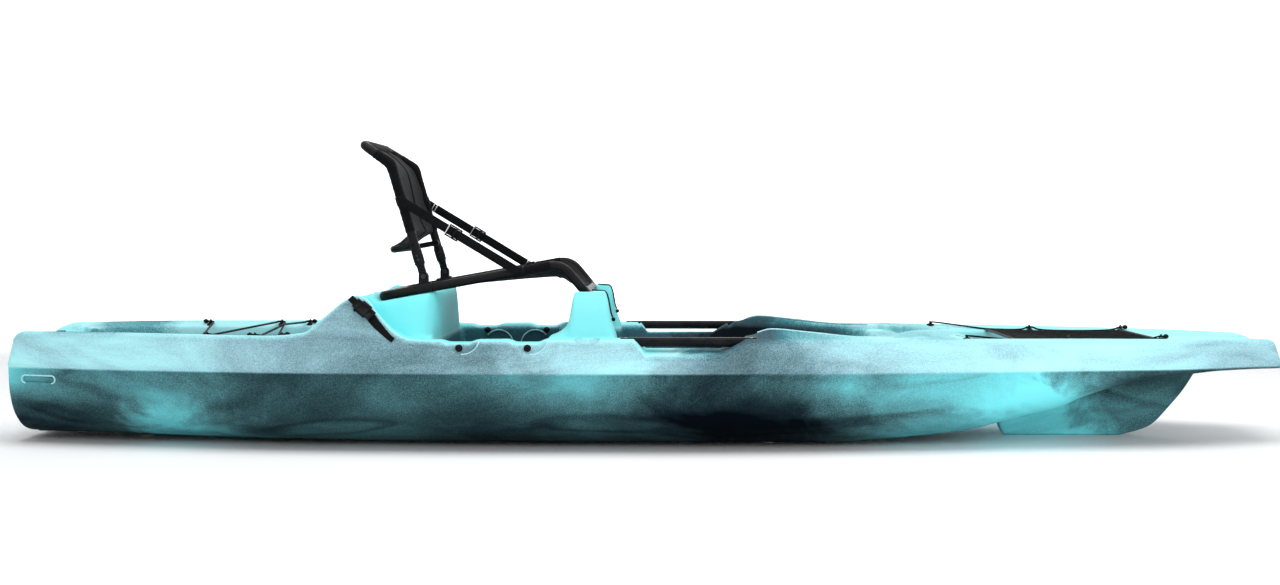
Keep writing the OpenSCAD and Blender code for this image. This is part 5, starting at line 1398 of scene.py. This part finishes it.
sides = [(s, w, d) for s in (1, -1) for w in (1, -1) for d in COLLAR_SCREWS]
screw_at = [PIVOT + d * BACK_WAY + (0, s * (SEAT_Y + w * COLLAR_R), 0) for s, w, d in sides]
collar_screws = set_out("collar_screws", screw, screw_at, [(0, w, 0) for _, w, _ in sides], black_steel, size=0.7)
fit(collar_screws, "backrest", "steel")


# Back panel. Black woven nylon sewn in three widths with piping between them: a middle and two side
# gussets, hung from the hoop and the lumbar bar by sleeves. It hollows backwards between the tubes.
def on_back(d):
    return PIVOT + d * BACK_WAY


def on_head(d):
    return BACK_TOP + d * HEAD_WAY


def back_folds(q, v):
    return 0.9 * sin(11 * q * pi + 4 * v) * abs(v) ** 4


LUMBAR_BACK, LUMBAR_R = np.array((-702.26, 0, 530.44)), 8.0
PANEL_T, PIPE_COLUMN, PIPE_R, PANEL_SEAM = 2.2, 11, 2.2, (1.4, 0, 0.4)
PIPE_LIFT = 1.2 * BACK_WAY[2] * np.array((0.9, 0, 0.2))
panel_stops = [(LUMBAR_BACK + (2, 0, LUMBAR_R + 1), 165, 0), (0.5 * LUMBAR_BACK + 0.5 * on_back(128), 186, 6)]
panel_stops += [(on_back(d), CLOTH_EDGE, deep) for d, deep in ((128, 14), (160, 21), (214, 25), (270, 20))]
panel_stops += [(BACK_TOP + (-3, 0, -8), CLOTH_EDGE, 13), (on_head(45), CLOTH_EDGE, 6)]
panel_stops += [(on_head(62), CLOTH_EDGE - 6, 4), (on_head(82), 176, 1)]
stops = np.array([(*p, w, d) for p, w, d in panel_stops])
far = run_of(np.linalg.norm(np.diff(stops[:, :3], axis=0), axis=1))
at = np.linspace(0, far[-1], 52)
*panel_line, panel_half, panel_deep = (fair(list(zip(far, values)), at) for values in stops.T)
panel_line = np.stack(panel_line, axis=1)
panel_v = np.linspace(-1, 1, 53)
panel_rows = cloth_rows(panel_line, panel_half, panel_deep, panel_v, 2, back_folds)
gusset_cloth = woven_cloth("gusset_cloth", (0.007, 0.007, 0.008), (0.022, 0.023, 0.025), 150.0)
panel = skin("back_cloth", panel_rows, seat_cloth, closed=False)
panel.data.materials.append(gusset_cloth)
columns = len(panel_v) - 1
for face in panel.data.polygons:
    face.material_index = 0 if PIPE_COLUMN <= face.index % columns < columns - PIPE_COLUMN else 1
thicken(panel, PANEL_T)
trims, seams = [], []
for k in (PIPE_COLUMN, columns - PIPE_COLUMN):
    trims.append(tube("piping", even(panel_rows[:, k] + PIPE_LIFT, 6), PIPE_R, 8, seat_cloth))
    seams += [panel_rows[2:-2, k + off] + PANEL_SEAM for off in (-1, 1)]
back_tube = bent([on_back(126), BACK_TOP, on_head(50)], [34])
for side in (1, -1):
    over = even(back_tube + (0, side * SEAT_Y, 0), 3)
    from_bend = np.linalg.norm(over - BACK_TOP - (0, side * SEAT_Y, 0), axis=1)
    radii = wrinkled(len(over), SLEEVE_R, 0.35, 1.1, 0.9) + 1.7 * np.exp(-((from_bend / 22) ** 2))
    trims.append(tube("sleeve", over, radii, 24, seat_cloth))
for centre, r, half_w in ((HEAD_TOP, SLEEVE_R, 168), (LUMBAR_BACK, LUMBAR_R + 2.2, 164)):
    over = [centre + (0, y, 0) for y in np.linspace(-half_w, half_w, 90)]
    trims.append(tube("sleeve", over, wrinkled(len(over), r, 0.3, 1.2), 20, seat_cloth))
panel_trim = joined("back_sleeves_and_piping", trims)
seams += [panel_rows[row, 2:-2] + PANEL_SEAM for row in (3, 5, -6, -4)]
panel_seams = stitches("back_stitches", seams)
fit(panel, "backrest", "black_fabric", "back_panel")
fit(panel_trim, "backrest", "black_fabric", "back_panel")
fit(panel_seams, "backrest", "black_fabric")

# Side straps. Webbing from a loop on each upright down to a loop on the base tube, doubled below a
# ladder buckle with a steel bar; it holds the backrest up and goes slack when the backrest folds.
STRAP_Y, TURN_REACH, BUCKLE_AT, BUCKLE_OUT, BAR_IN = 236.6, 2000.0, {1: 0.49, -1: 0.45}, 1.6, WEB_T / 2 + 1.4
TAIL_SPAN, LOOP_R = (0.02, 0.22), SLEEVE_R + 1.2
STRAP_TOP, STRAP_LOW = on_back(214), base_point(-353)
STRAP_RUN = STRAP_LOW - STRAP_TOP
DOWN = unit(STRAP_RUN)
bar_parts = [((x, 0, 0), (4, 2.4, 24), 1.0) for x in (0, 9)]
bar_parts += [((4.5, 0, z), (13, 2.4, 2.4), 1.0) for z in (10.9, -10.9)]
ladder_parts = [((x, 0, 0), (5, 9, 35), 1.8) for x in (-18, 18)]
ladder_parts += [((0, 0, z), (38, 9, 4.4), 1.6) for z in (15.4, -15.4)] + [((4, 2.4, 0), (6, 4, 30), 1.6)]
ladder_parts += [((x, 3.4, 0), (1.4, 4, 26), 0.6) for x in (9, 12)]
wire_bar, ladder = blocks("wire_bar", bar_parts), blocks("ladder", ladder_parts)
ladder_bar = blocks("ladder_bar", [((-19, 0, 0), (3.4, 10.4, 33), 1.4)])


def hang_between(piece, slot, start, end, *stands_for):
    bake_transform(piece)
    if stands_for:
        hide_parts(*stands_for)


for side, label in ((1, "left"), (-1, "right")):
    buckle_at = BUCKLE_AT[side]
    out = np.array((0, side, 0))
    square, face = unit(np.cross(DOWN, out)), out * (WEB_T / 2 + SEWN_LIFT)
    top, low = STRAP_TOP + out * STRAP_Y, STRAP_LOW + out * STRAP_Y
    line = top + np.linspace(0, 1, 60)[:, None] * STRAP_RUN
    doubled = np.linspace(buckle_at + TAIL_SPAN[0], buckle_at + TAIL_SPAN[1], 24)
    tail = top + doubled[:, None] * STRAP_RUN + out * (WEB_T + 0.3)
    tail[-1] += DOWN * 2 + out * 0.6
    strap = joined("side_strap_" + label, [band("webbing", path, square, WEB_W, WEB_T) for path in (line, tail)])
    hang_between(strap, "webbing", top, low, "back_strap_" + label)
    seams = [[p + square * w + face for p in line[2:-2]] for w in (-10.6, 10.6)]
    for p in (tail[-3], tail[-5], line[3], line[5], line[-4], line[-6]):
        seams.append([p + square * w + face for w in np.linspace(-10, 10, 8)])
    hang_between(stitches("side_strap_stitches_" + label, seams), "webbing", top, low)
    for node, body, centre, way, bar_name, bar_at in (
        ("back_strap_loops", "backrest", STRAP_TOP, BACK_WAY, "strap_top_bar_", 0.07),
        ("base_strap_loops", "seat", STRAP_LOW, unit((1, 0, TUBE_SLOPE)), "strap_low_bar_", 0.95),
    ):
        around = unit(np.cross(way, out))
        turns = np.linspace(0, 2 * pi, 40)
        loop_line = [centre + out * SEAT_Y + LOOP_R * (cos(t) * out + sin(t) * around) for t in turns]
        loop = band("strap_loop_" + body + "_" + label, loop_line, way, WEB_W, WEB_T)
        fit(loop, body, "webbing", node)
        bar_spot = top + STRAP_RUN * bar_at - out * BAR_IN
        fit(set_out(bar_name + label, wire_bar, [bar_spot], square, steel, DOWN), body, "steel")
    spot = top + STRAP_RUN * buckle_at
    turn_from, turn_to = spot - out * TURN_REACH * buckle_at, spot + out * TURN_REACH * (1 - buckle_at)
    buckle = set_out("ladder_buckle_" + label, ladder, [spot + out * BUCKLE_OUT], square, gloss_plastic, DOWN)
    hang_between(buckle, "black_plastic", turn_from, turn_to, "strap_buckle_" + label)
    buckle_bar = set_out("buckle_bar_" + label, ladder_bar, [spot + out * BUCKLE_OUT], square, steel, DOWN)
    hang_between(buckle_bar, "steel", turn_from, turn_to)
masters = [screw, bolt_head, cap_nut, pad_eye, cord_knob, cord_post, side_buckle, thread, bead, collar]
for part in masters + [wire_bar, ladder, ladder_bar]:
    bpy.data.objects.remove(part)
